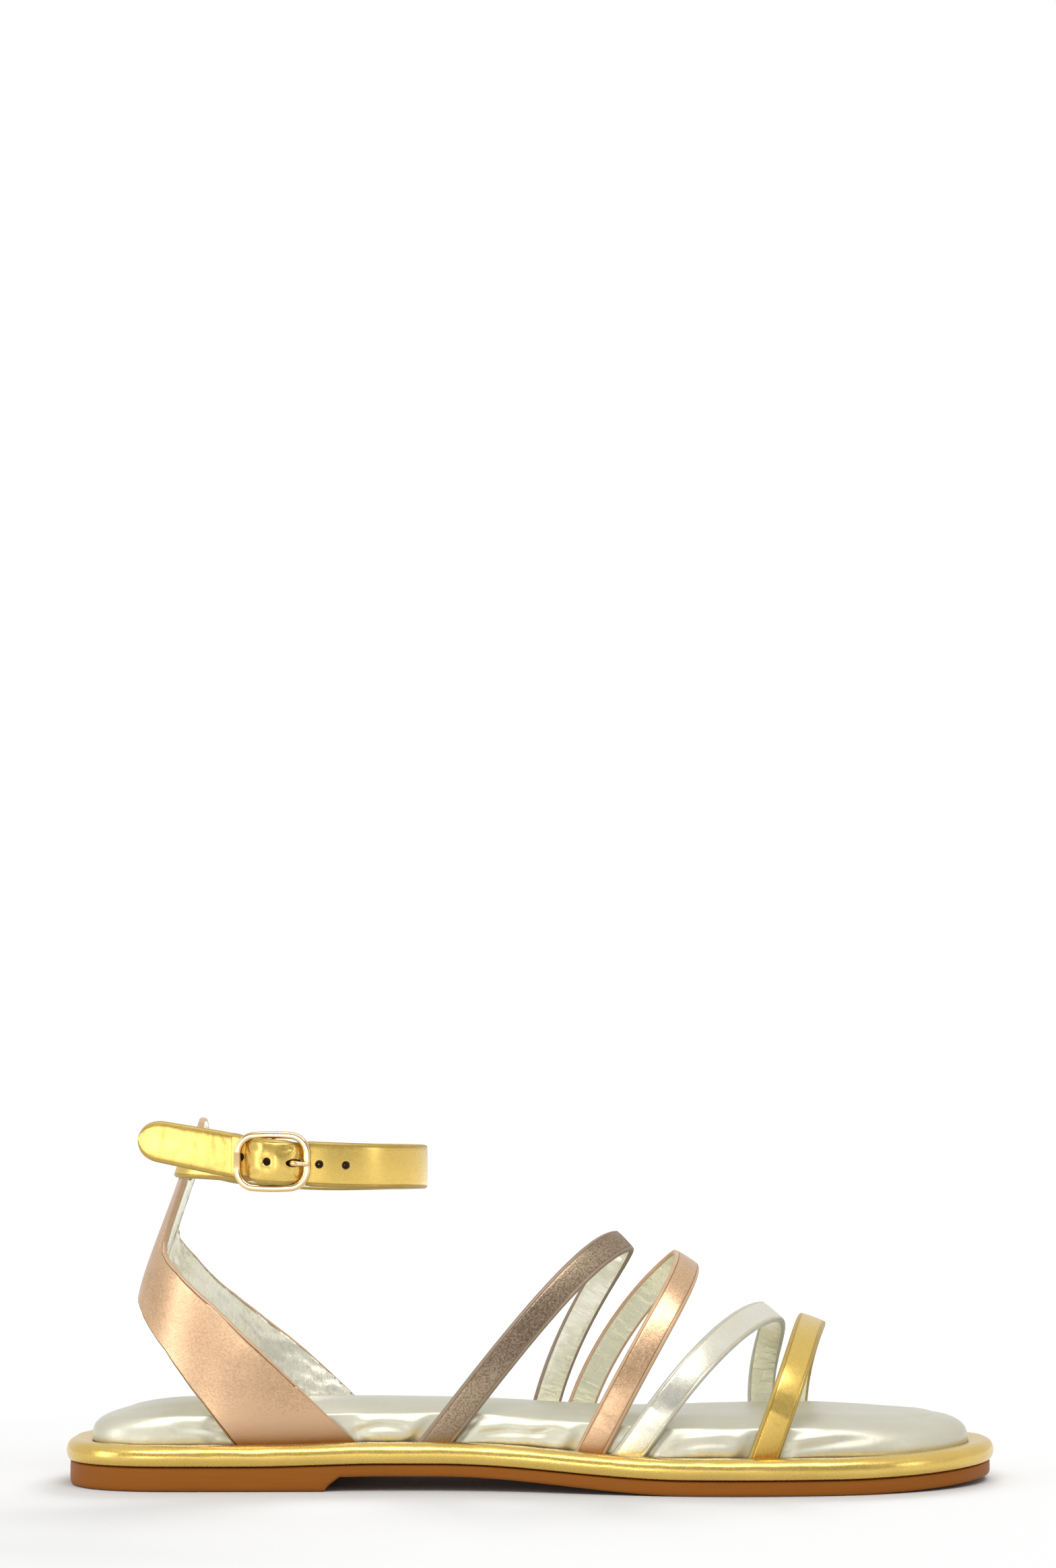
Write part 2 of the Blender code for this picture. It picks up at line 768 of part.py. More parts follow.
def loop_table():
    """The loop that the ankle strap follows: an ellipse from the tab's middle round the medial
    side, with its length so far at each step."""
    rear = heel_strap_point(0, TAB_STRIP_HEIGHT, MEDIAL).x
    half_length = (LOOP_FRONT - rear) / 2
    centre = (LOOP_FRONT + rear) / 2
    rows, travelled, last = [], 0.0, None
    for index in range(LOOP_STEPS + 1):
        turn = 2 * math.pi * index / LOOP_STEPS
        point = Vector(
            (centre - half_length * math.cos(turn), LOOP_HALF_WIDTH * math.sin(turn), 0)
        )
        if last is not None:
            travelled += (point - last).length
        rows.append((travelled, point.x, point.y))
        last = point
    return rows


LOOP = loop_table()


def loop_point(along):
    """The point and the outward direction of the loop, at a length along it from the tab."""
    total = LOOP[-1][0]
    here, before, after = (
        Vector((*loop_read((along + shift) % total), 0)) for shift in (0, -SMALL, SMALL)
    )
    ahead = (after - before).normalized()
    return here, Vector((-ahead.y, ahead.x, 0)), ahead


def loop_read(along):
    low, high = 0, len(LOOP) - 1
    while high - low > 1:
        middle = (low + high) // 2
        if LOOP[middle][0] <= along:
            low = middle
        else:
            high = middle
    start, end = LOOP[low], LOOP[high]
    share = (along - start[0]) / (end[0] - start[0])
    return start[1] + (end[1] - start[1]) * share, start[2] + (end[2] - start[2]) * share


def bar_along():
    """How far round the loop the buckle's centre bar lies, on the lateral side."""
    total = LOOP[-1][0]
    return max(row[0] for row in LOOP if row[1] >= BUCKLE_BAR and row[2] < 0) - total


def weave(along):
    """The stand-off that carries the strap outside the tab's rims and inside its middle."""
    lift = (HEEL_STRAP_WALL / 2 + ANKLE_PLAY + ANKLE_WALL / 2) / math.cos(tab_lean())
    away = abs(along)
    turn = min(max((away - SLIT_INNER) / (SLIT_OUTER - SLIT_INNER), 0), 1)
    inside = -math.cos(math.pi * turn)
    return lift * inside * (1 - ease(away, SLIT_OUTER + WEAVE_HOLD, SLIT_OUTER + WEAVE_FADE))


def bar_offset():
    """The centre bar's stand-off from the loop line."""
    return BUCKLE_STANDOFF - BAR_SET


def fold_radius():
    return BAR_RADIUS + FOLD_PLAY + FOLD_WALL / 2


def stand_off(along):
    """The strap's stand-off from the loop line, on its first and on its second pass."""
    total = LOOP[-1][0]
    first, second = bar_along(), total + bar_along()
    inner = -(ANKLE_WALL + ANKLE_PLAY)
    hump = bar_offset() + fold_radius() + FOLD_WALL / 2 + ANKLE_PLAY + ANKLE_WALL / 2
    half = BUCKLE_LENGTH / 2
    if along < total / 2:
        under = 1 - ease(along, *(first + fade for fade in UNDERLAP_FADE))
        near_bar = 1 - ease(along, first, first + FOLD_FADE)
        leg = bar_offset() - fold_radius()
        return weave(along) + under * (inner + (leg - inner) * near_bar)
    away = abs(along - second)
    return hump * (1 - ease(away, FOLD_LENGTH / 2, half - 2 * BUCKLE_WIRE))


def half_width(along):
    """Half the strap's width, which the buckle pinches on both passes."""
    away = min(abs(along - bar_along()), abs(along - bar_along() - LOOP[-1][0]))
    return ANKLE_WIDTH / 2 * (BUCKLE_PINCH + (1 - BUCKLE_PINCH) * ease(away, *PINCH_FADE))


def tab_lean():
    """How far the tab leans forward from upright, at the ankle strap's height."""
    low = heel_strap_point(0, TAB_STRIP_HEIGHT - ANKLE_WIDTH / 2, MEDIAL)
    high = heel_strap_point(0, TAB_STRIP_HEIGHT + ANKLE_WIDTH / 2, MEDIAL)
    return math.atan2(high.x - low.x, high.z - low.z)


def strip_across(along):
    """The strap's width direction: upright, but leaning with the tab where it weaves."""
    lean = tab_lean() * (1 - ease(abs(along), *TAB_LEAN_FADE))
    return Vector((math.sin(lean), 0, math.cos(lean)))


def strip_height(along):
    total = LOOP[-1][0]
    return TAB_STRIP_HEIGHT * read_rows(ANKLE_HEIGHTS, (along - bar_along()) / total)[0]


def route_lengths():
    """Lengths along the loop where the strap gets a frame: close together where it weaves."""
    total = LOOP[-1][0]
    first = bar_along()
    last = total + first + BUCKLE_LENGTH / 2 + TAIL_START
    lengths = [first + FOLD_RUN_OUT]
    while lengths[-1] < last - WEAVE_STEP:
        here = lengths[-1]
        weaving = abs(here) < SLIT_OUTER + WEAVE_HOLD
        at_buckle = abs(here - total - first) < BUCKLE_LENGTH / 2
        step = WEAVE_STEP if weaving else WEAVE_STEP * 2 if at_buckle else LOOP_STEP
        ahead = here + step
        if here < -SLIT_OUTER - WEAVE_HOLD < ahead:
            ahead = -SLIT_OUTER - WEAVE_HOLD
        lengths.append(ahead)
    return lengths


def fold_frames():
    """The strap's buckle end, thinned and folded round the centre bar, from its outer leg."""
    first = bar_along()
    here, outward, ahead = loop_point(first)
    radius = fold_radius()
    centre = here + outward * bar_offset()
    centre.z = strip_height(first)
    frames = []
    for share in (1.0, 0.5):
        middle = centre + ahead * FOLD_LENGTH * share + outward * radius
        frames.append((middle, UP, outward, half_width(first), FOLD_WALL / 2))
    for index in range(FOLD_STEPS + 1):
        turn = math.pi * index / FOLD_STEPS
        spoke = outward * math.cos(turn) - ahead * math.sin(turn)
        frames.append((centre + spoke * radius, UP, spoke, half_width(first), FOLD_WALL / 2))
    return [(c, a, -o, h, w) for c, a, o, h, w in frames]


def ankle_frames():
    frames = fold_frames()
    lengths = route_lengths()[1:]
    first = bar_along()
    centres = []
    for along in lengths:
        here, outward, _ = loop_point(along)
        centre = here + outward * stand_off(along)
        centre.z = strip_height(along)
        centres.append((centre, along))
    for index, (centre, along) in enumerate(centres):
        if index == 0:
            before = frames[-1][0]
        else:
            before = centres[index - 1][0]
        after = centres[min(index + 1, len(centres) - 1)][0]
        ahead = after - before
        ahead.z = 0
        across = strip_across(along)
        outward = ahead.cross(across).normalized() * -1
        thin = 1 - ease(along, first, first + FOLD_THINNING)
        wall = ANKLE_WALL + (FOLD_WALL - ANKLE_WALL) * thin
        frames.append((centre, across, outward, half_width(along), wall / 2))
    frames += tail_frames(frames[-1])
    return frames


def tail_frames(last):
    """The strap's free tail: straight on past the buckle, rising, tapered to a round tip."""
    centre, _, outward, half, wall = last
    ahead = Vector((-math.cos(math.radians(TAIL_SPLAY)), math.sin(math.radians(TAIL_SPLAY)), 0))
    straight = Vector((-ahead.y, ahead.x, 0))
    climb = math.radians(TAIL_RISE)
    across = (UP * math.cos(climb) - ahead * math.sin(climb)).normalized()
    along = (ahead * math.cos(climb) + UP * math.sin(climb)).normalized()
    frames = []
    lengths = [*TAIL_STEPS, TAIL_LENGTH - TAIL_ROUND]
    for index in range(1, TAIL_TIP_STEPS + 1):
        turn = math.pi / 2 * index / TAIL_TIP_STEPS * TAIL_TIP_CUT
        lengths.append(TAIL_LENGTH - TAIL_ROUND + TAIL_ROUND * math.sin(turn))
    for length in lengths:
        turned = ease(length, 0, TAIL_TURN)
        side = UP.lerp(across, turned).normalized()
        width = half * (1 + (TAIL_TAPER - 1) * length / TAIL_LENGTH)
        past = max(length - (TAIL_LENGTH - TAIL_ROUND), 0) / TAIL_ROUND
        width *= (1 - past**TAIL_SQUARENESS) ** (1 / TAIL_SQUARENESS)
        facing = outward.lerp(straight, turned).normalized()
        frames.append((centre + along * length, side, facing, width, wall))
    return frames


def hole_cutters(cutters):
    """The punched holes, one of them long for the prong, and the slot in the fold."""
    second = LOOP[-1][0] + bar_along()
    made = []
    for index in range(HOLE_COUNT):
        along = second - HOLE_FIRST - HOLE_PITCH * index
        here, outward, ahead = loop_point(along)
        slope = (stand_off(along + SMALL) - stand_off(along - SMALL)) / (2 * SMALL)
        normal = (outward - ahead * slope).normalized()
        centre = here + outward * stand_off(along)
        centre.z = strip_height(along)
        depth = PRONG_SLOT_DEPTH if index == PRONG_HOLE else ANKLE_WALL + ANKLE_PLAY
        bpy.ops.mesh.primitive_cylinder_add(vertices=HOLE_SIDES, radius=HOLE_RADIUS, depth=depth)
        obj = bpy.context.object
        obj.name = f"hole_{index + 1}"
        obj.location = centre
        obj.rotation_euler = normal.to_track_quat("Z", "X").to_euler()
        if index == PRONG_HOLE:
            obj.scale = (1, PRONG_SLOT / 2 / HOLE_RADIUS, 1)
        made.append(obj)
    made.append(fold_slot_cutter())
    for obj in made:
        for owner in obj.users_collection:
            owner.objects.unlink(obj)
        cutters.objects.link(obj)
        hide_cutter(obj)
    return made


def fold_slot_cutter():
    here, outward, ahead = loop_point(bar_along())
    centre = here + outward * bar_offset()
    centre.z = strip_height(bar_along())
    bpy.ops.mesh.primitive_cube_add(size=1)
    obj = bpy.context.object
    obj.name = "fold_slot"
    reach = fold_radius() + FOLD_WALL / 2 + FOLD_PLAY
    obj.location = centre - ahead * FOLD_SLOT_LEAD
    obj.rotation_euler = (0, 0, math.atan2(ahead.y, ahead.x))
    obj.scale = (2 * (reach + FOLD_SLOT_LEAD), 2 * reach, FOLD_SLOT)
    return obj


# Buckle


def buckle_axes():
    """The buckle's middle, its outward direction and its rearward direction."""
    here, outward, ahead = loop_point(bar_along())
    middle = here + outward * BUCKLE_STANDOFF
    middle.z = strip_height(LOOP[-1][0] + bar_along())
    return middle, outward, ahead


def wire_mesh(name, points, radius, cyclic, sides=2):
    """A round wire along a path, as a closed mesh."""
    curve = bpy.data.curves.new(name, "CURVE")
    curve.dimensions = "3D"
    curve.bevel_depth = radius
    curve.bevel_resolution = sides
    curve.use_fill_caps = not cyclic
    spline = curve.splines.new("POLY")
    spline.points.add(len(points) - 1)
    for target, point in zip(spline.points, points):
        target.co = (*point, 1)
    spline.use_cyclic_u = cyclic
    obj = bpy.data.objects.new(name, curve)
    bpy.context.scene.collection.objects.link(obj)
    bpy.context.view_layer.update()
    evaluated = obj.evaluated_get(bpy.context.evaluated_depsgraph_get())
    mesh = bpy.data.meshes.new_from_object(evaluated)
    bpy.data.objects.remove(obj, do_unlink=True)
    bpy.data.curves.remove(curve)
    shape = bmesh.new()
    shape.from_mesh(mesh)
    bmesh.ops.remove_doubles(shape, verts=shape.verts, dist=0.01 * MM)
    bmesh.ops.recalc_face_normals(shape, faces=shape.faces)
    shape.to_mesh(mesh)
    shape.free()
    return mesh


def buckle_outline():
    """The frame's middle line: a rounded rectangle whose top and bottom bow out."""
    half_long = BUCKLE_LENGTH / 2 - BUCKLE_WIRE
    half_high = BUCKLE_HEIGHT / 2 - BUCKLE_WIRE - BUCKLE_BOW
    corner = BUCKLE_CORNER
    points = []
    for quarter, (sx, sy) in enumerate(((1, 1), (-1, 1), (-1, -1), (1, -1))):
        for index in range(CORNER_STEPS + 1):
            turn = math.pi / 2 * (quarter + index / CORNER_STEPS)
            x = sx * (half_long - corner) + corner * math.cos(turn)
            y = sy * (half_high - corner) + corner * math.sin(turn)
            points.append((x, y))
        if quarter in (0, 2):
            points.append((0.0, sy * half_high))
    return [(x, y + math.copysign(BUCKLE_BOW * (1 - (x / half_long) ** 2), y)) for x, y in points]


def buckle_frame_mesh():
    middle, outward, ahead = buckle_axes()
    points = [middle + ahead * x + UP * y for x, y in buckle_outline()]
    return wire_mesh("buckle_frame", points, BUCKLE_WIRE, True)


def centre_bar(cutters):
    """The bar across the buckle's middle, joined to the frame at both ends."""
    middle, outward, _ = buckle_axes()
    here = middle + outward * (bar_offset() - BUCKLE_STANDOFF)
    reach = BUCKLE_HEIGHT / 2 - BUCKLE_WIRE
    mesh = wire_mesh("centre_bar", [here - UP * reach, here + UP * reach], BAR_RADIUS, False, 2)
    obj = add_object("centre_bar", mesh, cutters)
    hide_cutter(obj)
    return obj


def prong_path():
    """The prong's middle line: off the centre bar, out through its hole, onto the front bar."""
    middle, outward, ahead = buckle_axes()
    over = BUCKLE_WIRE + ANKLE_PLAY + PRONG_RADIUS
    sleeve = fold_radius()
    start = bar_offset() - BUCKLE_STANDOFF
    points = []
    for share, rise in PRONG_RISE:
        along = -sleeve - (BUCKLE_LENGTH / 2 - sleeve) * share
        point = middle + ahead * along + outward * (start + (over - start) * rise)
        point.z = strip_height(LOOP[-1][0] + bar_along() + along)
        points.append(point)
    return points


def prong_mesh():
    return wire_mesh("buckle_prong", prong_path(), PRONG_RADIUS, False, 2)


def prong_sleeve(cutters):
    """The sleeve that holds the prong on the centre bar."""
    middle, outward, ahead = buckle_axes()
    here = middle + outward * (bar_offset() - BUCKLE_STANDOFF)
    inner = BAR_RADIUS + FOLD_PLAY
    profile = bpy.data.meshes.new("prong_sleeve")
    low, high = -PRONG_SLEEVE_WIDTH / 2, PRONG_SLEEVE_WIDTH / 2
    outer = inner + PRONG_SLEEVE
    profile.from_pydata(
        [(outer, 0, high), (outer, 0, low), (inner, 0, low), (inner, 0, high)],
        [(0, 1), (1, 2), (2, 3), (3, 0)],
        [],
    )
    obj = add_object("prong_sleeve", profile, cutters)
    obj.location = here
    screw = obj.modifiers.new("turn", "SCREW")
    screw.steps = SLEEVE_STEPS
    screw.render_steps = SLEEVE_STEPS
    screw.use_merge_vertices = True
    screw.merge_threshold = 0.00001
    hide_cutter(obj)
    return obj


def join(obj, other):
    boolean = obj.modifiers.new(other.name, "BOOLEAN")
    boolean.operation = "UNION"
    boolean.object = other


def build():
    clear_scene()
    sandal = make_collection("strappy_sandal")
    cutters = make_collection("cutters")
    finish = {name: make_material(name) for name in COLOURS}

    add_object("outsole", outsole_mesh(), sandal, finish["outsole"])
    add_object("rand", rand_mesh(), sandal, finish["gold"])
    add_object("footbed_pad", pad_mesh(), sandal, finish["silver"])

    for row in FOOT_STRAPS:
        colour = row[0].rsplit("_", 1)[1]
        strap = add_object(row[0], strap_mesh(row), sandal, finish[colour])
        strip_modifiers(strap, STRAP_WALL)

    heel = add_object("heel_strap", heel_strap_mesh(), sandal, finish["rose"])
    strip_modifiers(heel, HEEL_STRAP_WALL)
    for side in (LATERAL, MEDIAL):
        cut(heel, slit_cutter(side, cutters))

    ankle = add_object("ankle_strap", sweep("ankle_strap", ankle_frames()), sandal, finish["gold"])
    for cutter in hole_cutters(cutters):
        cut(ankle, cutter)

    frame = add_object("buckle_frame", buckle_frame_mesh(), sandal, finish["buckle"])
    join(frame, centre_bar(cutters))
    prong = add_object("buckle_prong", prong_mesh(), sandal, finish["buckle"])
    join(prong, prong_sleeve(cutters))


build()
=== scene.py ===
"""The looks of a flat strappy sandal for the right foot: foil leathers, painted strap edges, silver
linings, a padded footbed, a wrapped rand, a moulded outsole and a polished buckle.

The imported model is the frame. Each operator makes one piece, or a group of like pieces, in the
frame's own place: toe along +X, lateral side along -Y, up +Z, in metres."""

import math

import bmesh
import bpy
import numpy as np
from bpy.props import FloatProperty, FloatVectorProperty, PointerProperty
from mathutils import Euler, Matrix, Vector, noise


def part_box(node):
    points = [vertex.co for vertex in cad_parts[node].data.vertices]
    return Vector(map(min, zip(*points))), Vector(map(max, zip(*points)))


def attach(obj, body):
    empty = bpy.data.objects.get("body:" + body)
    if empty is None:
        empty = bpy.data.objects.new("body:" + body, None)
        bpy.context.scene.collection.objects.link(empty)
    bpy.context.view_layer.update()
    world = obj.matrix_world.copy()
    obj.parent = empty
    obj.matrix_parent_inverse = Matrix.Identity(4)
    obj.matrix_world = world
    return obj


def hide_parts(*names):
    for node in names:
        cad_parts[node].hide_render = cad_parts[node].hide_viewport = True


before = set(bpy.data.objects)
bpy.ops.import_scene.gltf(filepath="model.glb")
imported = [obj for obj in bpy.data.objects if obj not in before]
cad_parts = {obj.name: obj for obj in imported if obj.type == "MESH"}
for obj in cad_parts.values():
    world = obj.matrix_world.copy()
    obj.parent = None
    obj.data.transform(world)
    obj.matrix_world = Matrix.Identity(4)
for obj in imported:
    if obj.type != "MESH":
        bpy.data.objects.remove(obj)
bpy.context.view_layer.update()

bl_info = {
    "name": "Strappy Sandal Finish",
    "version": (1, 0, 0),
    "blender": (4, 5, 0),
    "location": "View3D > Sidebar > Sandal",
    "description": "Makes the finished pieces of a flat strappy sandal on its packed frame",
    "category": "Object",
}

MM = 0.001
LATERAL, MEDIAL = -1, 1
UP = np.array((0.0, 0.0, 1.0))
# Half the length over which slopes are measured
SMALL_STEP = 0.3 * MM
# How far a finished piece may lie off its CAD node
PLACE_SLACK = 2.5 * MM
# Points that lie closer than this are merged
MERGE_REACH = 0.002 * MM

# Sole: the outline, as (station along the sole, centre and half width as ball width shares)
RAND_LOW, RAND_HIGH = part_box("rand")
SOLE_LENGTH = RAND_HIGH.x - RAND_LOW.x
BALL_WIDTH = 81 * MM
HEEL_ROUND = 32 * MM
HEEL_SQUARENESS = 2.6
TOE_ROUND = 54 * MM
TOE_SQUARENESS = 2.1
# About how long the arc of a rounded end is, over its radius
ROUND_ARC = 1.45
OUTLINE_STEP = 0.5 * MM
OUTLINE = (
    (0.00, 0.000, 0.355),
    (0.12, 0.000, 0.364),
    (0.25, -0.008, 0.352),
    (0.37, -0.032, 0.318),
    (0.47, -0.052, 0.318),
    (0.57, -0.058, 0.380),
    (0.65, -0.036, 0.446),
    (0.73, -0.004, 0.486),
    (0.80, 0.018, 0.490),
    (0.90, 0.052, 0.489),
    (1.00, 0.086, 0.485),
)

# Outsole
HEEL_BLOCK = 6.3 * MM
WAIST_SEAT = 7.0 * MM
FOREFOOT_OUTSOLE = 3.9 * MM
WAIST_OUTSOLE = 3.1 * MM
TOE_SPRING = 1.6 * MM
BREAST = 0.2827
BREAST_RUN = 4.0 * MM
BREAST_CURVE = 0.7
WAIST_RISE = (0.20, 0.34)
WAIST_FALL = (0.40, 0.66)
SPRING_START = 0.815
TREAD_DEPTH = 0.6 * MM
OUTSOLE_STEP = 0.9 * MM
RUBBER_RELIEF = 0.02 * MM
RIB_PITCH = 3.6 * MM
RIB_WIDTH = 1.5 * MM
RIB_INSET = 9.5 * MM
# Where the ribs start and end under the heel and the forefoot
RIB_HEEL_START = 11 * MM
RIB_HEEL_END = 4 * MM
RIB_FORE_START = 0.52
RIB_TOE_END = 12 * MM
# How high their middles lie in the tread, as a share of its depth
RIB_MIDDLE = 0.56
# Its side from the tread to the seat, as (share of the way up, inset)
OUTSOLE_SIDE = (
    (0.00, 7.0 * MM),
    (0.02, 2.2 * MM),
    (0.07, 1.45 * MM),
    (0.16, 1.2 * MM),
    (0.35, 1.1 * MM),
    (0.70, 1.1 * MM),
    (0.93, 1.15 * MM),
    (1.00, 1.45 * MM),
)

# Rand
SEAM = 0.3 * MM
RAND_RISE = 5.8 * MM
RAND_WIDTH = 7.6 * MM
RECESS_FLOOR = 2.0 * MM
RAND_RINGS = 46
RAND_STEP = 0.55 * MM
RAND_SWELL = 0.12 * MM
# How strongly it is creased at some of its rings
RAND_CREASED = ((0, 14, 21, 30, 36, 45), (0, 0.1, 0.8, 1.0, 0.3, 0))
# How much painted shade it takes at some of its rings: darker at its seam on the outsole and down its
# inner wall by the pad
RAND_PAINTED_SHADE = ((0, 1, 4, 34, 40, 46), (0.9, 0.8, 0.0, 0.0, 0.5, 1.0))
# Its padded side, as (inset share of the width, height share)
RAND_SIDE = (
    (0.60, 0.00),
    (0.17, 0.00),
    (0.05, 0.14),
    (0.00, 0.42),
    (0.05, 0.72),
    (0.22, 0.94),
    (0.50, 1.00),
    (0.82, 0.93),
    (0.97, 0.80),
    (1.00, 0.32),
)

# Straps over the foot, as (node, lateral station, lean, medial station, lean, crown station,
# crown height share, crown tilt, crown roundness)
STRAP_WALL = 1.7 * MM
STRAP_WIDTH = 7.8 * MM
STRAP_CROWN = 0.10 * MM
STRAP_PLAY = 0.35 * MM
STRAP_LIP = RAND_RISE * 0.80
LINING_ROUND = 0.12 * MM
# The fine creases near a strap's foot: how deep, how far up it and how widely spread
STRAP_CREASE = 0.10 * MM
CREASE_SPREAD = (16 * MM, 6 * MM)
FOOT_STEPS = 22
ARCH_STEPS = 81
GROOVE = RAND_WIDTH + STRAP_PLAY + STRAP_WALL / 2
ARCH_ROUNDNESS = 0.58
INSTEP_HEIGHT = 65.3 * MM
CROWN_Y = 0.06
FOOT_STRAPS = (
    ("instep_strap_taupe", 0.3963, 38.0, 0.5057, 16.0, 0.5990, 0.989, 46, 0.45),
    ("instep_strap_rose", 0.5595, 27.5, 0.5405, 21.5, 0.6657, 0.917, 32, 0.62),
    ("forefoot_strap_silver", 0.5985, 35.5, 0.7565, -1.0, 0.7556, 0.692, 42, 0.45),
    ("toe_strap_gold", 0.7398, 20.6, 0.7895, 5.0, 0.8047, 0.658, 20, 0.50),
)

# Footbed pad
PAD_MARGIN = 7.2 * MM
PAD_HEIGHT = 12.5 * MM
PAD_TOE_THINNING = 1.8 * MM
PAD_THINNING_SPAN = (0.78, 0.95)
NOTCH_PLAY = 0.9 * MM
NOTCH_FADE = 3.0 * MM
NOTCH_DEPTH = 0.82
PINCH_START = 5 * MM
PINCH_RUN = 34 * MM
PINCH_DEPTH = 0.50
PAD_TUCK = GROOVE + STRAP_WALL / 2 + NOTCH_PLAY - PAD_MARGIN
PAD_LOFT = 0.9 * MM
PAD_CROWN_RUN = 10 * MM
PAD_RINGS = 48
PAD_STEP = 0.62 * MM
# Painted shade at the pad's base, where it tucks in by the rand, at some of its rings
PAD_PAINTED_SHADE = ((0, 8, 12, PAD_RINGS), (0.6, 0.3, 0.0, 0.0))
# The slow unevenness of its side and its top, and how far from its edge the top's is full
PAD_SIDE_SWELL = 0.08 * MM
PAD_TOP_SWELL = 0.10 * MM
PAD_CALM = 8 * MM
PAD_HEEL_DROP = 2.2 * MM
PAD_HEEL_RUN = (1 * MM, 26 * MM)
# Its side, as (tuck share inward, height share)
PAD_SIDE = (
    (1.00, 0.000),
    (0.92, 0.125),
    (0.28, 0.165),
    (0.02, 0.215),
    (-0.07, 0.30),
    (-0.05, 0.42),
    (0.10, 0.555),
    (0.38, 0.66),
    (0.82, 0.755),
    (1.38, 0.828),
    (2.02, 0.882),
    (2.70, 0.922),
)

# Long soft creases in the pad's side, as (side, x and height share of three points, depth, width)
PAD_CREASES = (
    (LATERAL, (-19, 0.34), (-4, 0.62), (14, 0.40), 0.42, 1.1),
    (LATERAL, (-21, 0.42), (-14, 0.70), (-6, 0.74), 0.30, 1.0),
    (LATERAL, (-47, 0.42), (-40, 0.66), (-31, 0.40), 0.40, 1.0),
    (LATERAL, (36, 0.36), (46, 0.66), (57, 0.44), 0.42, 1.1),
    (LATERAL, (37, 0.56), (44, 0.78), (52, 0.72), 0.26, 1.0),
    (LATERAL, (66, 0.36), (80, 0.58), (97, 0.60), 0.40, 1.2),
    (LATERAL, (67, 0.55), (74, 0.76), (83, 0.80), 0.26, 1.0),
    (LATERAL, (-78, 0.40), (-88, 0.60), (-100, 0.56), 0.30, 1.1),
    (LATERAL, (1, 0.50), (5, 0.66), (10, 0.56), 0.26, 0.8),
    (MEDIAL, (-46, 0.36), (-30, 0.60), (-8, 0.50), 0.40, 1.2),
    (MEDIAL, (18, 0.38), (34, 0.62), (56, 0.44), 0.42, 1.2),
    (MEDIAL, (80, 0.38), (90, 0.58), (102, 0.60), 0.36, 1.1),
    (MEDIAL, (-80, 0.40), (-90, 0.60), (-102, 0.55), 0.30, 1.1),
)

# Heel strap
HEEL_STRAP_WALL = 1.65 * MM
TAB_TOP = 98.9 * MM
TAB_STRIP_HEIGHT = 88.3 * MM
CUP_CENTRE = -0.2448
MEDIAL_LEAD = 0.093
HEEL_BASE_TURN = 107.3
HEEL_BACK_TURN = 71.4
TAB_TURN = 22
BAND_ROWS = 44
BASE_BLEND = (12 * MM, 38 * MM)
BAND_FOOT_LEAD = 6 * MM
BAND_FOOT_SLOPE = -0.25
# Its cup, as (height share of the tab's top, rear reach as a length share, half width share)
HEEL_CUP = (
    (0.11, 0.4434, 0.280),
    (0.30, 0.4374, 0.300),
    (0.50, 0.4247, 0.312),
    (0.585, 0.4156, 0.320),
    (0.75, 0.3923, 0.342),
    (0.89, 0.3730, 0.358),
    (1.00, 0.3583, 0.358),
)
BAND_BASE = HEEL_CUP[0][0] * TAB_TOP
# Its edges, as (turn from the back in degrees, lower and upper height as tab top shares)
HEEL_BAND = (
    (0.0, 0.495, 1.000),
    (7.0, 0.490, 0.998),
    (12.0, 0.479, 0.988),
    (15.8, 0.469, 0.972),
    (18.0, 0.463, 0.946),
    (19.0, 0.460, 0.890),
    (19.2, 0.459, 0.790),
    (19.8, 0.456, 0.710),
    (21.5, 0.449, 0.662),
    (25.0, 0.436, 0.632),
    (32.0, 0.404, 0.606),
    (40.0, 0.364, 0.580),
    (49.0, 0.300, 0.542),
    (58.6, 0.222, 0.497),
    (66.0, 0.150, 0.452),
    (71.4, 0.095, 0.415),
    (76.5, 0.060, 0.380),
    (82.0, 0.060, 0.338),
    (89.0, 0.060, 0.279),
    (98.0, 0.060, 0.200),
    (107.3, 0.060, 0.125),
)
# On the medial side the upper edge flares out of the tab sooner, by a tab top share
MEDIAL_FLARE = 0.032
FLARE_TURNS = (19, 23, 28, 62)

# Ankle strap
ANKLE_WIDTH = 12.1 * MM
ANKLE_WALL = 1.7 * MM
ANKLE_PLAY = 0.35 * MM
ANKLE_STEP = 0.45 * MM
LOOP_START = 1.0 * MM
LOOP_FRONT = -29.93 * MM
LOOP_HALF_WIDTH = 29.0 * MM
LOOP_STEPS = 1441
SLIT_INNER = 2.2 * MM
SLIT_OUTER = 7.6 * MM
SLIT_PLAY = 0.5 * MM
SLIT_DEPTH = 8 * MM
SLIT_ROUND = 1.0 * MM
WEAVE_HOLD = 2.5 * MM
WEAVE_FADE = 13 * MM
BUCKLE_PINCH = 0.93
BUCKLE_SWELL = 0.075
SWELL_FADE = (3 * MM, 6 * MM)
PINCH_FADE = (7 * MM, 10.5 * MM)
UNDERLAP_FADE = (16 * MM, 34 * MM)
FOLD_FADE = 6 * MM
FOLD_THINNING = 9 * MM
TAB_LEAN_FADE = (9 * MM, 30 * MM)
TAIL_LENGTH = 26.4 * MM
TAIL_RISE = 10.5
TAIL_SPLAY = 4.0
TAIL_TAPER = 0.90
TAIL_ROUND = 6.5 * MM
TAIL_TURN = 10 * MM
TAIL_START = 1.5 * MM
TAIL_CREASE = 0.05 * MM
TAIL_SQUARENESS = 2.2
ANKLE_HEIGHTS = (
    (0.00, 0.989),
    (0.10, 0.998),
    (0.18, 1.000),
    (0.28, 1.000),
    (0.35, 0.972),
    (0.47, 0.951),
    (0.60, 0.957),
    (0.74, 0.968),
    (0.88, 0.976),
    (1.00, 0.989),
    (1.06, 1.006),
)
HOLE_RADIUS = 1.1 * MM
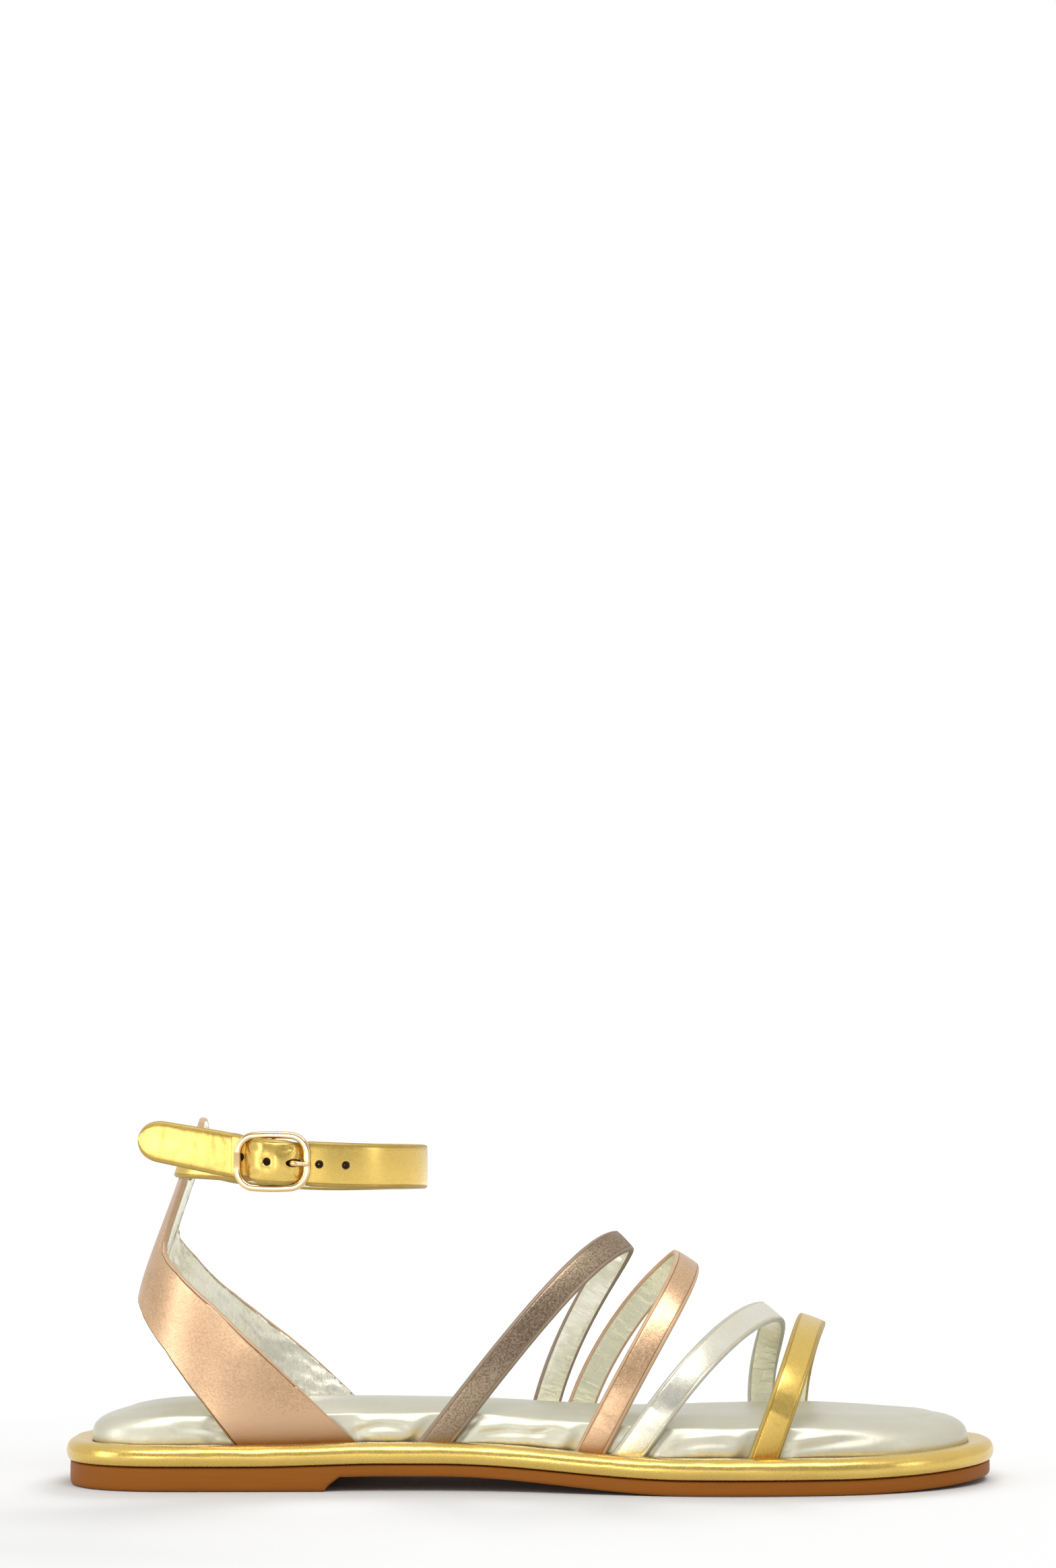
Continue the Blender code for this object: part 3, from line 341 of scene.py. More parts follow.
LINING_HOLE = 0.14 * MM
RIM_WIRE = 0.11 * MM
HOLE_PITCH = 7.1 * MM
HOLE_FIRST = -9.0 * MM
HOLE_COUNT = 5
# How far the bunched strap draws each hole away from the even row
HOLE_DRAWN = np.array((0.0, 1.3, 0.0, 0.0, 0.0)) * MM
PRONG_HOLE = 2
HOLE_SIDES = 28
# How long the prong's hole is drawn, and how deep the punches reach there and elsewhere
PRONG_HOLE_STRETCH = 2.27
PRONG_PUNCH = -3.3 * MM
PUNCH = -1.2 * MM
# The strap's swell inside the buckle, in millimetres past the bar and off its middle
PUFF_ENDS = (5.0, 8.8)
PUFF_HALF_HEIGHT = 5.6
# Its ridge and its dimple, as (place, width, share of the swell)
PUFF_RIDGE = (-1.6, 0.9, 0.26)
PUFF_DIMPLE = (0.8, 1.9, 0.42)
# Its corners, and the folds that fan out from each, as (reach, width, depth)
PUFF_CORNER = (6.5, 4.8)
PUFF_FOLD = (2.4, 1.9, 0.20)

# Buckle
BUCKLE_BAR = -69.63 * MM
BUCKLE_LENGTH = 21.3 * MM
BUCKLE_HEIGHT = 16.2 * MM
BUCKLE_CORNER = 4.3 * MM
BUCKLE_BOW = 0.7 * MM
BUCKLE_WIRE = 0.95 * MM
WIRE_SQUARENESS = 3.2
WIRE_FLATNESS = 0.94
WIRE_SIDES = 40
BUCKLE_STANDOFF = 1.3 * MM
BAR_SET = 1.3 * MM
BAR_RADIUS = 0.65 * MM
BAR_SIDES = 20
FOLD_WALL = 1.0 * MM
FOLD_PLAY = 0.25 * MM
FOLD_LENGTH = 2.0 * MM
FOLD_RADIUS = BAR_RADIUS + FOLD_PLAY + FOLD_WALL / 2
FOLD_SLOT = 3.0 * MM
FOLD_SLOT_LEAD = 0.4 * MM
PRONG_RADIUS = 0.8 * MM
PRONG_SLEEVE = 0.65 * MM
PRONG_SLEEVE_WIDTH = 2.2 * MM
PRONG_RISE = (
    (0.00, 0.00),
    (0.15, 0.03),
    (0.32, 0.34),
    (0.49, 0.85),
    (0.67, 1.03),
    (0.90, 1.00),
    (1.02, 0.95),
)


class SandalColours(bpy.types.PropertyGroup):
    """The colours of the leathers, the rubber and the metal, in linear light"""

    gold: FloatVectorProperty(
        name="Gold", description="Gold foil leather", subtype="COLOR", default=(0.77, 0.545, 0.135)
    )
    silver: FloatVectorProperty(
        name="Silver", description="Pale silver foil", subtype="COLOR", default=(0.81, 0.80, 0.70)
    )
    pad: FloatVectorProperty(
        name="Pad", description="The footbed's foil", subtype="COLOR", default=(0.66, 0.645, 0.525)
    )
    lining: FloatVectorProperty(
        name="Lining", description="Silver lining", subtype="COLOR", default=(0.86, 0.845, 0.71)
    )
    rose: FloatVectorProperty(
        name="Rose", description="Rose gold foil", subtype="COLOR", default=(0.75, 0.50, 0.30)
    )
    taupe: FloatVectorProperty(
        name="Taupe", description="Dark taupe foil", subtype="COLOR", default=(0.37, 0.28, 0.20)
    )
    rubber: FloatVectorProperty(
        name="Rubber", description="Outsole", subtype="COLOR", default=(0.26, 0.083, 0.009)
    )
    metal: FloatVectorProperty(
        name="Metal", description="Buckle plating", subtype="COLOR", default=(0.80, 0.57, 0.30)
    )


class SandalSizes(bpy.types.PropertyGroup):
    """The fine sizes of the finish"""

    grain: FloatProperty(
        name="Grain",
        description="Size of one pebble of the leather's grain",
        unit="LENGTH",
        default=0.52 * MM,
    )
    grain_depth: FloatProperty(
        name="Grain depth",
        description="Height of the grain's pebbles",
        unit="LENGTH",
        default=0.036 * MM,
    )
    edge_line: FloatProperty(
        name="Edge line",
        description="Depth of the fine line beside a strap's painted edge",
        unit="LENGTH",
        default=0.09 * MM,
    )
    rand_crease: FloatProperty(
        name="Rand crease",
        description="Depth of the fine creases across the rand",
        unit="LENGTH",
        default=0.032 * MM,
    )
    pad_crease: FloatProperty(
        name="Pad crease",
        description="Depth of the fine creases down the pad's side",
        unit="LENGTH",
        default=0.045 * MM,
    )
    lining_crease: FloatProperty(
        name="Lining crease",
        description="Depth of the wrinkles across the linings",
        unit="LENGTH",
        default=0.17 * MM,
    )
    puff: FloatProperty(
        name="Buckle puff",
        description="How far the strap swells out inside the buckle",
        unit="LENGTH",
        default=1.0 * MM,
    )


class SandalStudio(bpy.types.PropertyGroup):
    """The camera and the floor's colour"""

    camera_distance: FloatProperty(
        name="Distance",
        description="From the sandal's middle to the camera",
        unit="LENGTH",
        default=0.900,
    )
    camera_height: FloatProperty(
        name="Height", description="The camera over the floor", unit="LENGTH", default=0.107
    )
    camera_side: FloatProperty(
        name="Side", description="The camera's place along the sole", unit="LENGTH", default=-0.00121
    )
    camera_pitch: FloatProperty(
        name="Pitch",
        description="How far the camera looks up",
        subtype="ANGLE",
        default=math.radians(5.3849),
    )
    lens: FloatProperty(name="Lens", description="Focal length in millimetres", default=74.04)
    floor: FloatVectorProperty(
        name="Floor", description="Floor colour", subtype="COLOR", default=(0.60, 0.60, 0.60)
    )


# Tables, curves and grids


def ease(value, low=0.0, high=1.0):
    """A smooth step from 0 at low to 1 at high."""
    share = np.clip((value - low) / (high - low), 0.0, 1.0)
    return share * share * (3 - 2 * share)


def bell(value, middle, width):
    return np.exp(-(((value - middle) / width) ** 2))


def read_rows(rows, at):
    """The columns of a table at values of its first column, on a smooth curve through its rows."""
    table = np.asarray(rows, float)
    key, columns = table[:, 0], table[:, 1:]
    at = np.clip(np.asarray(at, float), key[0], key[-1])
    index = np.clip(np.searchsorted(key, at, side="right") - 1, 0, len(key) - 2)
    low = np.maximum(np.arange(len(key)) - 1, 0)
    high = np.minimum(np.arange(len(key)) + 1, len(key) - 1)
    slopes = (columns[high] - columns[low]) / (key[high] - key[low])[:, None]
    span = (key[index + 1] - key[index])[..., None]
    share = (at - key[index])[..., None] / span
    made = columns[index] * (1 + 2 * share) * (1 - share) ** 2
    made += slopes[index] * span * share * (1 - share) ** 2
    made += columns[index + 1] * share**2 * (3 - 2 * share)
    made += slopes[index + 1] * span * share**2 * (share - 1)
    return np.moveaxis(made, -1, 0)


def read_straight(rows, at):
    """The columns of a table on straight lines between its rows."""
    table = np.asarray(rows, float)
    return [np.interp(at, table[:, 0], table[:, column]) for column in range(1, table.shape[1])]


def read_profile(rows, count):
    """A table's columns at even steps from its first row to its last, on a smooth curve."""
    numbered = [(index, *row) for index, row in enumerate(rows)]
    return read_rows(numbered, np.linspace(0, len(rows) - 1, count))


def unit(vectors):
    length = np.linalg.norm(vectors, axis=-1, keepdims=True)
    return vectors / np.maximum(length, 1e-12)


def lerp(start, end, share):
    return start + (end - start) * share


def ripple(along, across, seed, octaves=3):
    """A smooth noise from -1 to 1 over two arrays of the same shape."""
    points = np.stack([along.ravel(), across.ravel()], axis=1)
    values = [
        noise.fractal(Vector((float(u), float(v), seed)), 0.9, 2.0, octaves) for u, v in points
    ]
    return np.array(values).reshape(along.shape)


def grid_normals(grid):
    """The outward normals of an open grid of points."""
    return unit(np.cross(np.gradient(grid, axis=0), np.gradient(grid, axis=1)))


def run_lengths(grid, axis):
    """How far along each line of a grid its points lie."""
    steps = np.linalg.norm(np.diff(grid, axis=axis), axis=-1)
    start = np.zeros_like(np.take(steps, [0], axis=axis))
    return np.concatenate([start, np.cumsum(steps, axis=axis)], axis=axis)


def skin(name, grid, zones=None, attributes=None):
    """A closed mesh object over a grid of points, rows along the piece and columns around it. Its UV
    map is in metres along and around, and zones gives the material slot of each column's faces."""
    rows, columns = grid.shape[:2]
    row, column = np.meshgrid(np.arange(rows - 1), np.arange(columns), indexing="ij")
    around = ((0, 0), (1, 0), (1, 1), (0, 1))
    quads = np.stack([(row + r) * columns + (column + c) % columns for r, c in around], axis=-1)
    quads = quads.reshape(-1, 4)
    ends = [list(range(columns)), list(range((rows - 1) * columns, rows * columns))[::-1]]
    mesh = bpy.data.meshes.new(name)
    mesh.from_pydata(grid.reshape(-1, 3).tolist(), [], quads.tolist() + ends)
    u = run_lengths(grid, 0).mean(axis=1)
    v = run_lengths(np.concatenate([grid, grid[:, :1]], axis=1), 1).mean(axis=0)
    corners = [np.stack([u[row + r], v[column + c]], axis=-1) for r, c in around]
    corners = np.stack(corners, axis=2).reshape(-1, 2)
    flat = np.zeros((len(mesh.loops), 2), np.float32)
    flat[: len(corners)] = corners
    mesh.uv_layers.new(name="Leather").data.foreach_set("uv", flat.ravel())
    if zones is not None:
        slots = np.zeros(len(mesh.polygons), np.int32)
        slots[: len(quads)] = np.broadcast_to(zones, row.shape).ravel()
        slots[len(quads) :] = int(np.max(zones))
        mesh.polygons.foreach_set("material_index", slots)
    for key, values in (attributes or {}).items():
        stored = mesh.attributes.new(key, "FLOAT", "POINT")
        stored.data.foreach_set("value", np.ascontiguousarray(values, np.float32).ravel())
    close_ends(mesh)
    mesh.shade_smooth()
    return placed(name, mesh)


def placed(name, mesh):
    """A new object with the mesh, in the scene."""
    obj = bpy.data.objects.new(name, mesh)
    bpy.context.scene.collection.objects.link(obj)
    return obj


def close_ends(mesh):
    """Merges the points that meet at a closed end and turns every face outward."""
    shape = bmesh.new()
    shape.from_mesh(mesh)
    bmesh.ops.remove_doubles(shape, verts=shape.verts, dist=MERGE_REACH)
    bmesh.ops.recalc_face_normals(shape, faces=shape.faces)
    shape.to_mesh(mesh)
    shape.free()


def finish_piece(obj, node, materials):
    """Dresses a piece, ties it to the frame and checks that it lies where its CAD node does."""
    if not obj.data.materials:
        for material in materials:
            obj.data.materials.append(material)
    low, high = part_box(node)
    points = np.empty(len(obj.data.vertices) * 3)
    obj.data.vertices.foreach_get("co", points)
    points = points.reshape(-1, 3)
    off = max(np.abs(points.min(0) - low).max(), np.abs(points.max(0) - high).max())
    if off > PLACE_SLACK:
        raise RuntimeError(f"{obj.name} lies {off / MM:.1f} mm off its node {node}")
    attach(obj, "root")
    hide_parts(node)


# Sole outline and heights


def station_x(share):
    return (share - 0.5) * SOLE_LENGTH


def end_round(x):
    """The share of the half width that is left where the heel and the toe round off."""
    heel = np.clip(1 - (x + SOLE_LENGTH / 2) / HEEL_ROUND, 0, 1)
    toe = np.clip(1 - (SOLE_LENGTH / 2 - x) / TOE_ROUND, 0, 1)
    heel_share = (1 - heel**HEEL_SQUARENESS) ** (1 / HEEL_SQUARENESS)
    toe_share = (1 - toe**TOE_SQUARENESS) ** (1 / TOE_SQUARENESS)
    return heel_share * toe_share


def raw_edges(x):
    centre, half = read_rows(OUTLINE, x / SOLE_LENGTH + 0.5)
    half = half * end_round(x)
    return (centre - half) * BALL_WIDTH, (centre + half) * BALL_WIDTH


def stations(step):
    """Places along the sole, at about even steps along its outline."""
    rear, front = -SOLE_LENGTH / 2, SOLE_LENGTH / 2
    heel = np.linspace(0, math.pi / 2, round(ROUND_ARC * HEEL_ROUND / step))
    toe = np.linspace(0, math.pi / 2, round(ROUND_ARC * TOE_ROUND / step))
    middle = np.arange(rear + HEEL_ROUND, front - TOE_ROUND, step)
    return np.concatenate(
        [
            rear + HEEL_ROUND * (1 - np.cos(heel))[:-1],
            middle,
            front - TOE_ROUND + TOE_ROUND * np.sin(toe),
        ]
    )


FINE = stations(OUTLINE_STEP)
SHIFT = -(raw_edges(FINE)[0].min() + raw_edges(FINE)[1].max()) / 2


def edges(x):
    lateral, medial = raw_edges(x)
    return lateral + SHIFT, medial + SHIFT


def outline_ring(places):
    """The outline's points and inward directions: lateral side from heel to toe, then medial back."""
    lateral, medial = edges(places)
    there = np.stack([places, lateral], axis=-1)
    back = np.stack([places, medial], axis=-1)[-2:0:-1]
    points = np.concatenate([there, back])
    along = np.roll(points, -1, axis=0) - np.roll(points, 1, axis=0)
    return points, unit(np.stack([-along[:, 1], along[:, 0]], axis=-1))


def ring_sides(places):
    return np.where(np.arange(2 * len(places) - 2) < len(places), LATERAL, MEDIAL)


def seat_height(x):
    """The outsole's top: a level heel, a raised waist, a low forefoot and a sprung toe."""
    share = x / SOLE_LENGTH + 0.5
    rise = (WAIST_SEAT - HEEL_BLOCK) * ease(share, *WAIST_RISE)
    fall = (WAIST_SEAT - FOREFOOT_OUTSOLE) * ease(share, *WAIST_FALL)
    spring = np.clip(share - SPRING_START, 0, None) / (1 - SPRING_START)
    return HEEL_BLOCK + rise - fall + TOE_SPRING * spring**2


def tread_height(x):
    """The outsole's underside: on the floor at heel and forefoot, lifted at waist and toe."""
    share = x / SOLE_LENGTH + 0.5
    wall = WAIST_OUTSOLE + (FOREFOOT_OUTSOLE - WAIST_OUTSOLE) * ease(share, *WAIST_FALL)
    lifted = seat_height(x) - wall
    climb = np.clip((x - station_x(BREAST)) / BREAST_RUN, 0, 1)
    return lifted * climb**BREAST_CURVE


def groove_point(x, side):
    """The points at x on the line where the straps go down, and the line's direction there."""
    at = np.array(x, float)

    def edge(place):
        return edges(place)[0 if side == LATERAL else 1]

    for _ in range(5):
        change = edge(at + SMALL_STEP) - edge(at - SMALL_STEP)
        along = unit(np.stack([np.full_like(at, 2 * SMALL_STEP), change], -1))
        inward = np.stack([-along[..., 1], along[..., 0]], -1) * -side
        point = np.stack([at, edge(at)], -1) + inward * GROOVE
        at = at + x - point[..., 0]
    level = np.zeros_like(at)[..., None]
    return np.concatenate([point, level], -1), np.concatenate([along, level], -1)


def hoop(levels, top, bottom):
    """Cross-sections through rings of the outline: up the lateral side, across in top steps, down
    the medial side and back across in bottom steps. The result is a grid of points and, for each
    of its columns, the level that it stands on."""
    levels = np.asarray(levels)
    count = (levels.shape[1] + 2) // 2
    lateral = levels[:, :count]
    medial = np.concatenate([levels[:, :1], levels[:, : count - 2 : -1]], axis=1)
    medial = medial[:, :count]
    over = np.linspace(0, 1, top + 2)[1:-1, None, None]
    under = np.linspace(0, 1, bottom + 2)[1:-1, None, None]
    columns = [
        lateral,
        lerp(lateral[-1], medial[-1], over),
        medial[::-1],
        lerp(medial[0], lateral[0], under),
    ]
    size = len(levels)
    marks = np.concatenate(
        [np.arange(size), np.full(top, size), np.arange(size)[::-1], np.full(bottom, -1)]
    )
    return np.concatenate(columns).transpose(1, 0, 2), marks


# Finishes


def feed(tree, node, inputs):
    """Gives a node's sockets, by name or number, a value or another node's output."""
    for key, value in inputs.items():
        if isinstance(value, bpy.types.NodeSocket):
            tree.links.new(value, node.inputs[key])
        else:
            node.inputs[key].default_value = value


def add_node(tree, kind, inputs=None, **settings):
    """A new node with its settings made and its sockets fed."""
    made = tree.nodes.new(kind)
    for key, value in settings.items():
        setattr(made, key, value)
    feed(tree, made, inputs or {})
    return made


def math_node(tree, operation, first, second):
    return add_node(tree, "ShaderNodeMath", {0: first, 1: second}, operation=operation).outputs[0]


def remap(tree, value, low, high, start=0.0, end=1.0):
    """A value that goes from low to high as the given one goes from start to end."""
    spans = {"Value": value, "From Min": start, "From Max": end, "To Min": low, "To Max": high}
    return add_node(tree, "ShaderNodeMapRange", spans).outputs[0]


def cloud(tree, coords, scale, detail, distortion=0.0):
    """A soft random pattern over the coordinates, from about 0 to 1."""
    inputs = {"Vector": coords, "Scale": scale, "Detail": detail, "Distortion": distortion}
    return add_node(tree, "ShaderNodeTexNoise", inputs).outputs[0]


def stretched(tree, coords, scale):
    """The coordinates times a scale for each axis."""
    return add_node(tree, "ShaderNodeMapping", {"Vector": coords, "Scale": scale}).outputs[0]


def blend(tree, share, low, high):
    """A colour between two others, by a share."""
    inputs = {"Factor": share, 6: low, 7: high}
    return add_node(tree, "ShaderNodeMix", inputs, data_type="RGBA").outputs[2]


def relief(tree, height, distance, strength=1.0):
    """A surface direction that makes a height look raised by a distance."""
    inputs = {"Height": height, "Strength": strength, "Distance": distance}
    return add_node(tree, "ShaderNodeBump", inputs).outputs[0]


def new_material(name):
    """A material with its node tree, the object's coordinates in it and its shader."""
    material = bpy.data.materials.new(name)
    material.use_nodes = True
    tree = material.node_tree
    coords = add_node(tree, "ShaderNodeTexCoord").outputs["Object"]
    return material, tree, coords, tree.nodes["Principled BSDF"]


def shade(colour, share):
    """A colour times a share, or times a share for each channel."""
    shares = share if isinstance(share, tuple) else (share,) * 3
    return (*(channel * part for channel, part in zip(colour, shares)), 1.0)


def grain_height(tree, coords, grain):
    """The fine pebbles of leather's grain, and their height on a slower swell, about 0 to 1."""
    pebbles = cloud(tree, coords, 1 / grain, 1.5)
    swell = math_node(tree, "MULTIPLY", cloud(tree, coords, 0.28 / grain, 2.0), 0.6)
    return pebbles, math_node(tree, "ADD", swell, math_node(tree, "MULTIPLY", pebbles, 0.8))


# The tone of the painted shade, as a share of the colour's red, green and blue
WARM_SHADE = (0.52, 0.37, 0.16)
PALE_SHADE = (0.70, 0.66, 0.54)
# On silver, a painted gold reflection of the rand as well as painted shade
GOLD_REFLECTION_SHADE = (0.86, 0.72, 0.38)
TAUPE_SHADE = (0.52, 0.46, 0.34)
# On rose, an orange-brown painted shade with a painted reflection of the gold rand
ROSE_SHADE_REFLECTION = (0.27, 0.16, 0.05)
# Foil leathers, as (colour, roughness, grain depth share, painted shade tone, flecks, depth of folds)
FOILS = {
    "gold_foil": ("gold", 0.28, 0.2, WARM_SHADE, 0.04, 0.0),
    "rand_foil": ("gold", 0.27, 0.08, WARM_SHADE, 0.03, 0.0),
    "silver_foil": ("silver", 0.27, 0.25, GOLD_REFLECTION_SHADE, 0.05, 0.0),
    "pad_foil": ("pad", 0.48, 0.25, PALE_SHADE, 0.03, 0.0),
    "rose_foil": ("rose", 0.33, 1.2, ROSE_SHADE_REFLECTION, 0.22, 0.0),
    "taupe_foil": ("taupe", 0.33, 1.7, TAUPE_SHADE, 0.85, 0.0),
    "lining": ("lining", 0.31, 1.0, PALE_SHADE, 0.04, 6.0),
}
# Painted edges, as (colour, its share, metallic share)
EDGES = {
    "gold_edge": ("gold", 0.62, 0.45),
    "silver_edge": ("silver", 0.72, 0.45),
    "rose_edge": ("rose", 0.78, 0.2),
    "taupe_edge": ("taupe", 0.85, 0.2),
}
# Near-black tones of the raw leather in the holes, deepened into painted shade
HOLE_SHADE_TONES = ((0.030, 0.015, 0.006, 1), (0.12, 0.06, 0.02, 1))


def foil_leather(name, colour, sizes, roughness, grain, deep, fleck, cross):
    """Foil-faced leather: fine grain, slow changes of tone and gloss, and painted shade darkening it
    where the mesh's stored share says.
    """
    material, tree, coords, shader = new_material(name)
    pebbles, height = grain_height(tree, coords, sizes.grain)
    # A share stored on the mesh: how much painted shade darkens the colour here
    hollow = add_node(tree, "ShaderNodeAttribute", attribute_name="hollow").outputs["Fac"]
    tone = remap(tree, cloud(tree, coords, 70.0, 3.0), 0.0, 0.18, 0.35, 0.7)
    specks = remap(tree, pebbles, fleck, 0.0, 0.36, 0.62)
    # Random tone and dark grain flecks, with the painted shade laid over them
    mottle_and_painted_shade = math_node(tree, "MAXIMUM", math_node(tree, "ADD", tone, specks), hollow)
    gloss = remap(tree, height, roughness * 0.85, roughness * 1.2, 0.5, 0.95)
    if cross:
        uv = add_node(tree, "ShaderNodeUVMap", uv_map="Leather").outputs[0]
        folds = cloud(tree, stretched(tree, uv, (900, 130, 1)), 1.0, 4.0, 0.6)
        height = math_node(tree, "ADD", height, math_node(tree, "MULTIPLY", folds, cross))
    looks = {
        # The colour, darkened towards deep, the painted shade tone
        "Base Color": blend(tree, mottle_and_painted_shade, shade(colour, 1.0), shade(colour, deep)),
        "Roughness": gloss,
        "Normal": relief(tree, height, sizes.grain_depth * grain),
        "Metallic": 0.94,
        "Coat Weight": 0.35,
        "Coat Roughness": 0.30,
    }
    feed(tree, shader, looks)
    return material


def edge_paint(name, colour, sizes, share, metallic):
    """The painted edge of a strap: satin, thick and slightly uneven."""
    material, tree, coords, shader = new_material(name)
    colour = shade(colour, share)[:3]
    uneven = cloud(tree, coords, 420.0, 4.0)
    looks = {
        "Base Color": blend(tree, uneven, shade(colour, 0.72), shade(colour, 1.0)),
        "Roughness": remap(tree, uneven, 0.34, 0.52),
        "Normal": relief(tree, uneven, sizes.grain_depth * 1.5),
        "Metallic": metallic,
    }
    feed(tree, shader, looks)
    return material


def moulded_rubber(name, colour):
    """The outsole's rubber: satin, with faint streaks along the sole and a little dust."""
    material, tree, coords, shader = new_material(name)
    streaks = cloud(tree, stretched(tree, coords, (60, 60, 1400)), 1.0, 4.0)
    height = math_node(tree, "ADD", streaks, cloud(tree, coords, 2600.0, 2.0))
    looks = {
        "Base Color": blend(tree, streaks, shade(colour, 0.86), shade(colour, 1.16)),
        "Roughness": remap(tree, streaks, 0.42, 0.56),
        "Normal": relief(tree, height, RUBBER_RELIEF, 0.6),
        "Specular IOR Level": 0.12,
    }
    feed(tree, shader, looks)
    return material


def plated_metal(name, colour):
    """The buckle's plating: polished, with hairline wear."""
    material, tree, coords, shader = new_material(name)
    wear = cloud(tree, coords, 900.0, 5.0)
    looks = {
        "Base Color": blend(tree, wear, shade(colour, 0.92), shade(colour, 1.05)),
        "Roughness": remap(tree, wear, 0.10, 0.20),
        "Metallic": 1.0,
    }
    feed(tree, shader, looks)
    return material


def shaded_raw_leather(name):
    """The raw leather core that shows in the punched holes and the fold's slot, painted near black as
    the shade inside them.
    """
    material, tree, coords, shader = new_material(name)
    fibre = cloud(tree, coords, 2400.0, 4.0)
    feed(tree, shader, {"Base Color": blend(tree, fibre, *HOLE_SHADE_TONES), "Roughness": 0.75})
    return material


def finish(name):
    """A finish of the sandal by its name, made once."""
    made = bpy.data.materials.get(name)
    if made:
        return made
    colours, sizes = bpy.context.scene.sandal_colours, bpy.context.scene.sandal_sizes
    if name in FOILS:
        colour, *looks = FOILS[name]
        return foil_leather(name, getattr(colours, colour), sizes, *looks)
    if name in EDGES:
        colour, *looks = EDGES[name]
        return edge_paint(name, getattr(colours, colour), sizes, *looks)
    if name == "rubber":
        return moulded_rubber(name, colours.rubber)
    if name == "buckle_plating":
        return plated_metal(name, colours.metal)
    return shaded_raw_leather(name)


# Sole pieces


def make_outsole():
    """The moulded outsole: straight side, rounded tread edge, heel breast and raised waist."""
    places = stations(OUTSOLE_STEP)
    breast = station_x(BREAST)
    near = np.linspace(breast - BREAST_RUN, breast + 2 * BREAST_RUN, 40)
    places = np.sort(np.concatenate([places[(places < near[0]) | (places > near[-1])], near]))
    points, inward = outline_ring(places)
    along = np.concatenate([places, places[-2:0:-1]])
    share, inset = read_profile(OUTSOLE_SIDE, 30)
    levels = []
    for up, depth in zip(share, inset):
        flat = points + inward * depth
        low, high = tread_height(along), seat_height(along)
        levels.append(np.column_stack([flat, low + (high - low) * up]))
    grid, marks = hoop(levels, 2, 14)
    grid[:, marks == -1, 2] += TREAD_DEPTH
    return skin("outsole_rubber", grid)


def rand_grid(sizes):
    """The wrapped rand's cross-sections, with its fine creases across the bulge."""
    places = stations(RAND_STEP)
    points, inward = outline_ring(places)
    tuck, rise = read_profile(RAND_SIDE, RAND_RINGS)
    levels = []
    for inset, up in zip(tuck, rise):
        flat = points + inward * RAND_WIDTH * inset
        height = seat_height(flat[:, 0]) + SEAM + (RAND_RISE - SEAM) * up
        levels.append(np.column_stack([flat, height]))
    levels = np.asarray(levels)
    run = run_lengths(levels, 1).mean(axis=0)
    across = run_lengths(levels, 0).mean(axis=1)
    u, v = np.meshgrid(run / MM, across / MM, indexing="xy")
    where = np.interp(np.arange(RAND_RINGS), *RAND_CREASED)
    fine = ripple(u * 0.95, v * 0.16, 3.7)
    broad = ripple(u * 0.12, v * 0.3, 9.1, 2)
    creases = -np.clip(fine + 0.15, 0, None) * (0.55 + 0.9 * np.clip(broad + 0.3, 0, 1))
    push = creases * where[:, None] * sizes.rand_crease + broad * RAND_SWELL * where[:, None]
    normals = grid_normals(levels.transpose(1, 0, 2)).transpose(1, 0, 2)
    outward = np.concatenate([-inward, np.zeros((len(inward), 1))], axis=1)
    sign = np.sign((normals * (outward[None] + UP)).sum(-1, keepdims=True))
    levels = levels + normals * sign * push[..., None]
    return hoop(levels, 3, 3)


def make_rand(sizes):
    grid, marks = rand_grid(sizes)
    # Painted shade at the rand's seam on the outsole and down its inner wall
    hollow = np.interp(marks, *RAND_PAINTED_SHADE)
    hollow = np.broadcast_to(hollow, grid.shape[:2])
    return skin("rand_wrap", grid, attributes={"hollow": hollow})


def strap_feet():
    """Where each strap enters the groove, as (side, rear x, front x, lean as a slope)."""
    feet = []
    for _, lateral, lean_out, medial, lean_in, *_ in FOOT_STRAPS:
        for side, station, lean in ((LATERAL, lateral, lean_out), (MEDIAL, medial, lean_in)):
            half = STRAP_WIDTH / 2 / math.cos(math.radians(lean))
            middle = station_x(station)
            feet.append((side, middle - half, middle + half, math.tan(math.radians(lean))))
    for side in (LATERAL, MEDIAL):
        rear = heel_strap_point(HEEL_BACK_TURN, BAND_BASE, side)[0]
        front = heel_strap_point(HEEL_BASE_TURN, BAND_BASE, side)[0]
        feet.append((side, rear - BAND_FOOT_LEAD, front, BAND_FOOT_SLOPE))
    return feet


def pad_top(x):
    share = x / SOLE_LENGTH + 0.5
    return RECESS_FLOOR + SEAM + PAD_HEIGHT - PAD_TOE_THINNING * ease(share, *PAD_THINNING_SPAN)


def pad_notch(groove_x, sides, above, feet):
    """How far the pad's side gives way to the straps: a step at each strap and a soft pull to it."""
    notch = np.zeros(len(groove_x))
    for side, rear, front, slope in feet:
        shift = slope * above
        outside = np.maximum(rear + shift - groove_x, groove_x - front - shift)
        outside = np.clip(outside - NOTCH_PLAY, 0, None)
        step = NOTCH_DEPTH * (1 - ease(outside, 0, NOTCH_FADE))
        pull = PINCH_DEPTH * (1 - ease(outside, PINCH_START, PINCH_RUN))
        both = step + pull - step * pull / NOTCH_DEPTH
        notch = np.maximum(notch, np.where(sides == side, both, 0))
    blur = np.array((1, 4, 6, 4, 1)) / 16
    for _ in range(2):
        notch = sum(np.roll(notch, k - 2) * part for k, part in enumerate(blur))
    return notch


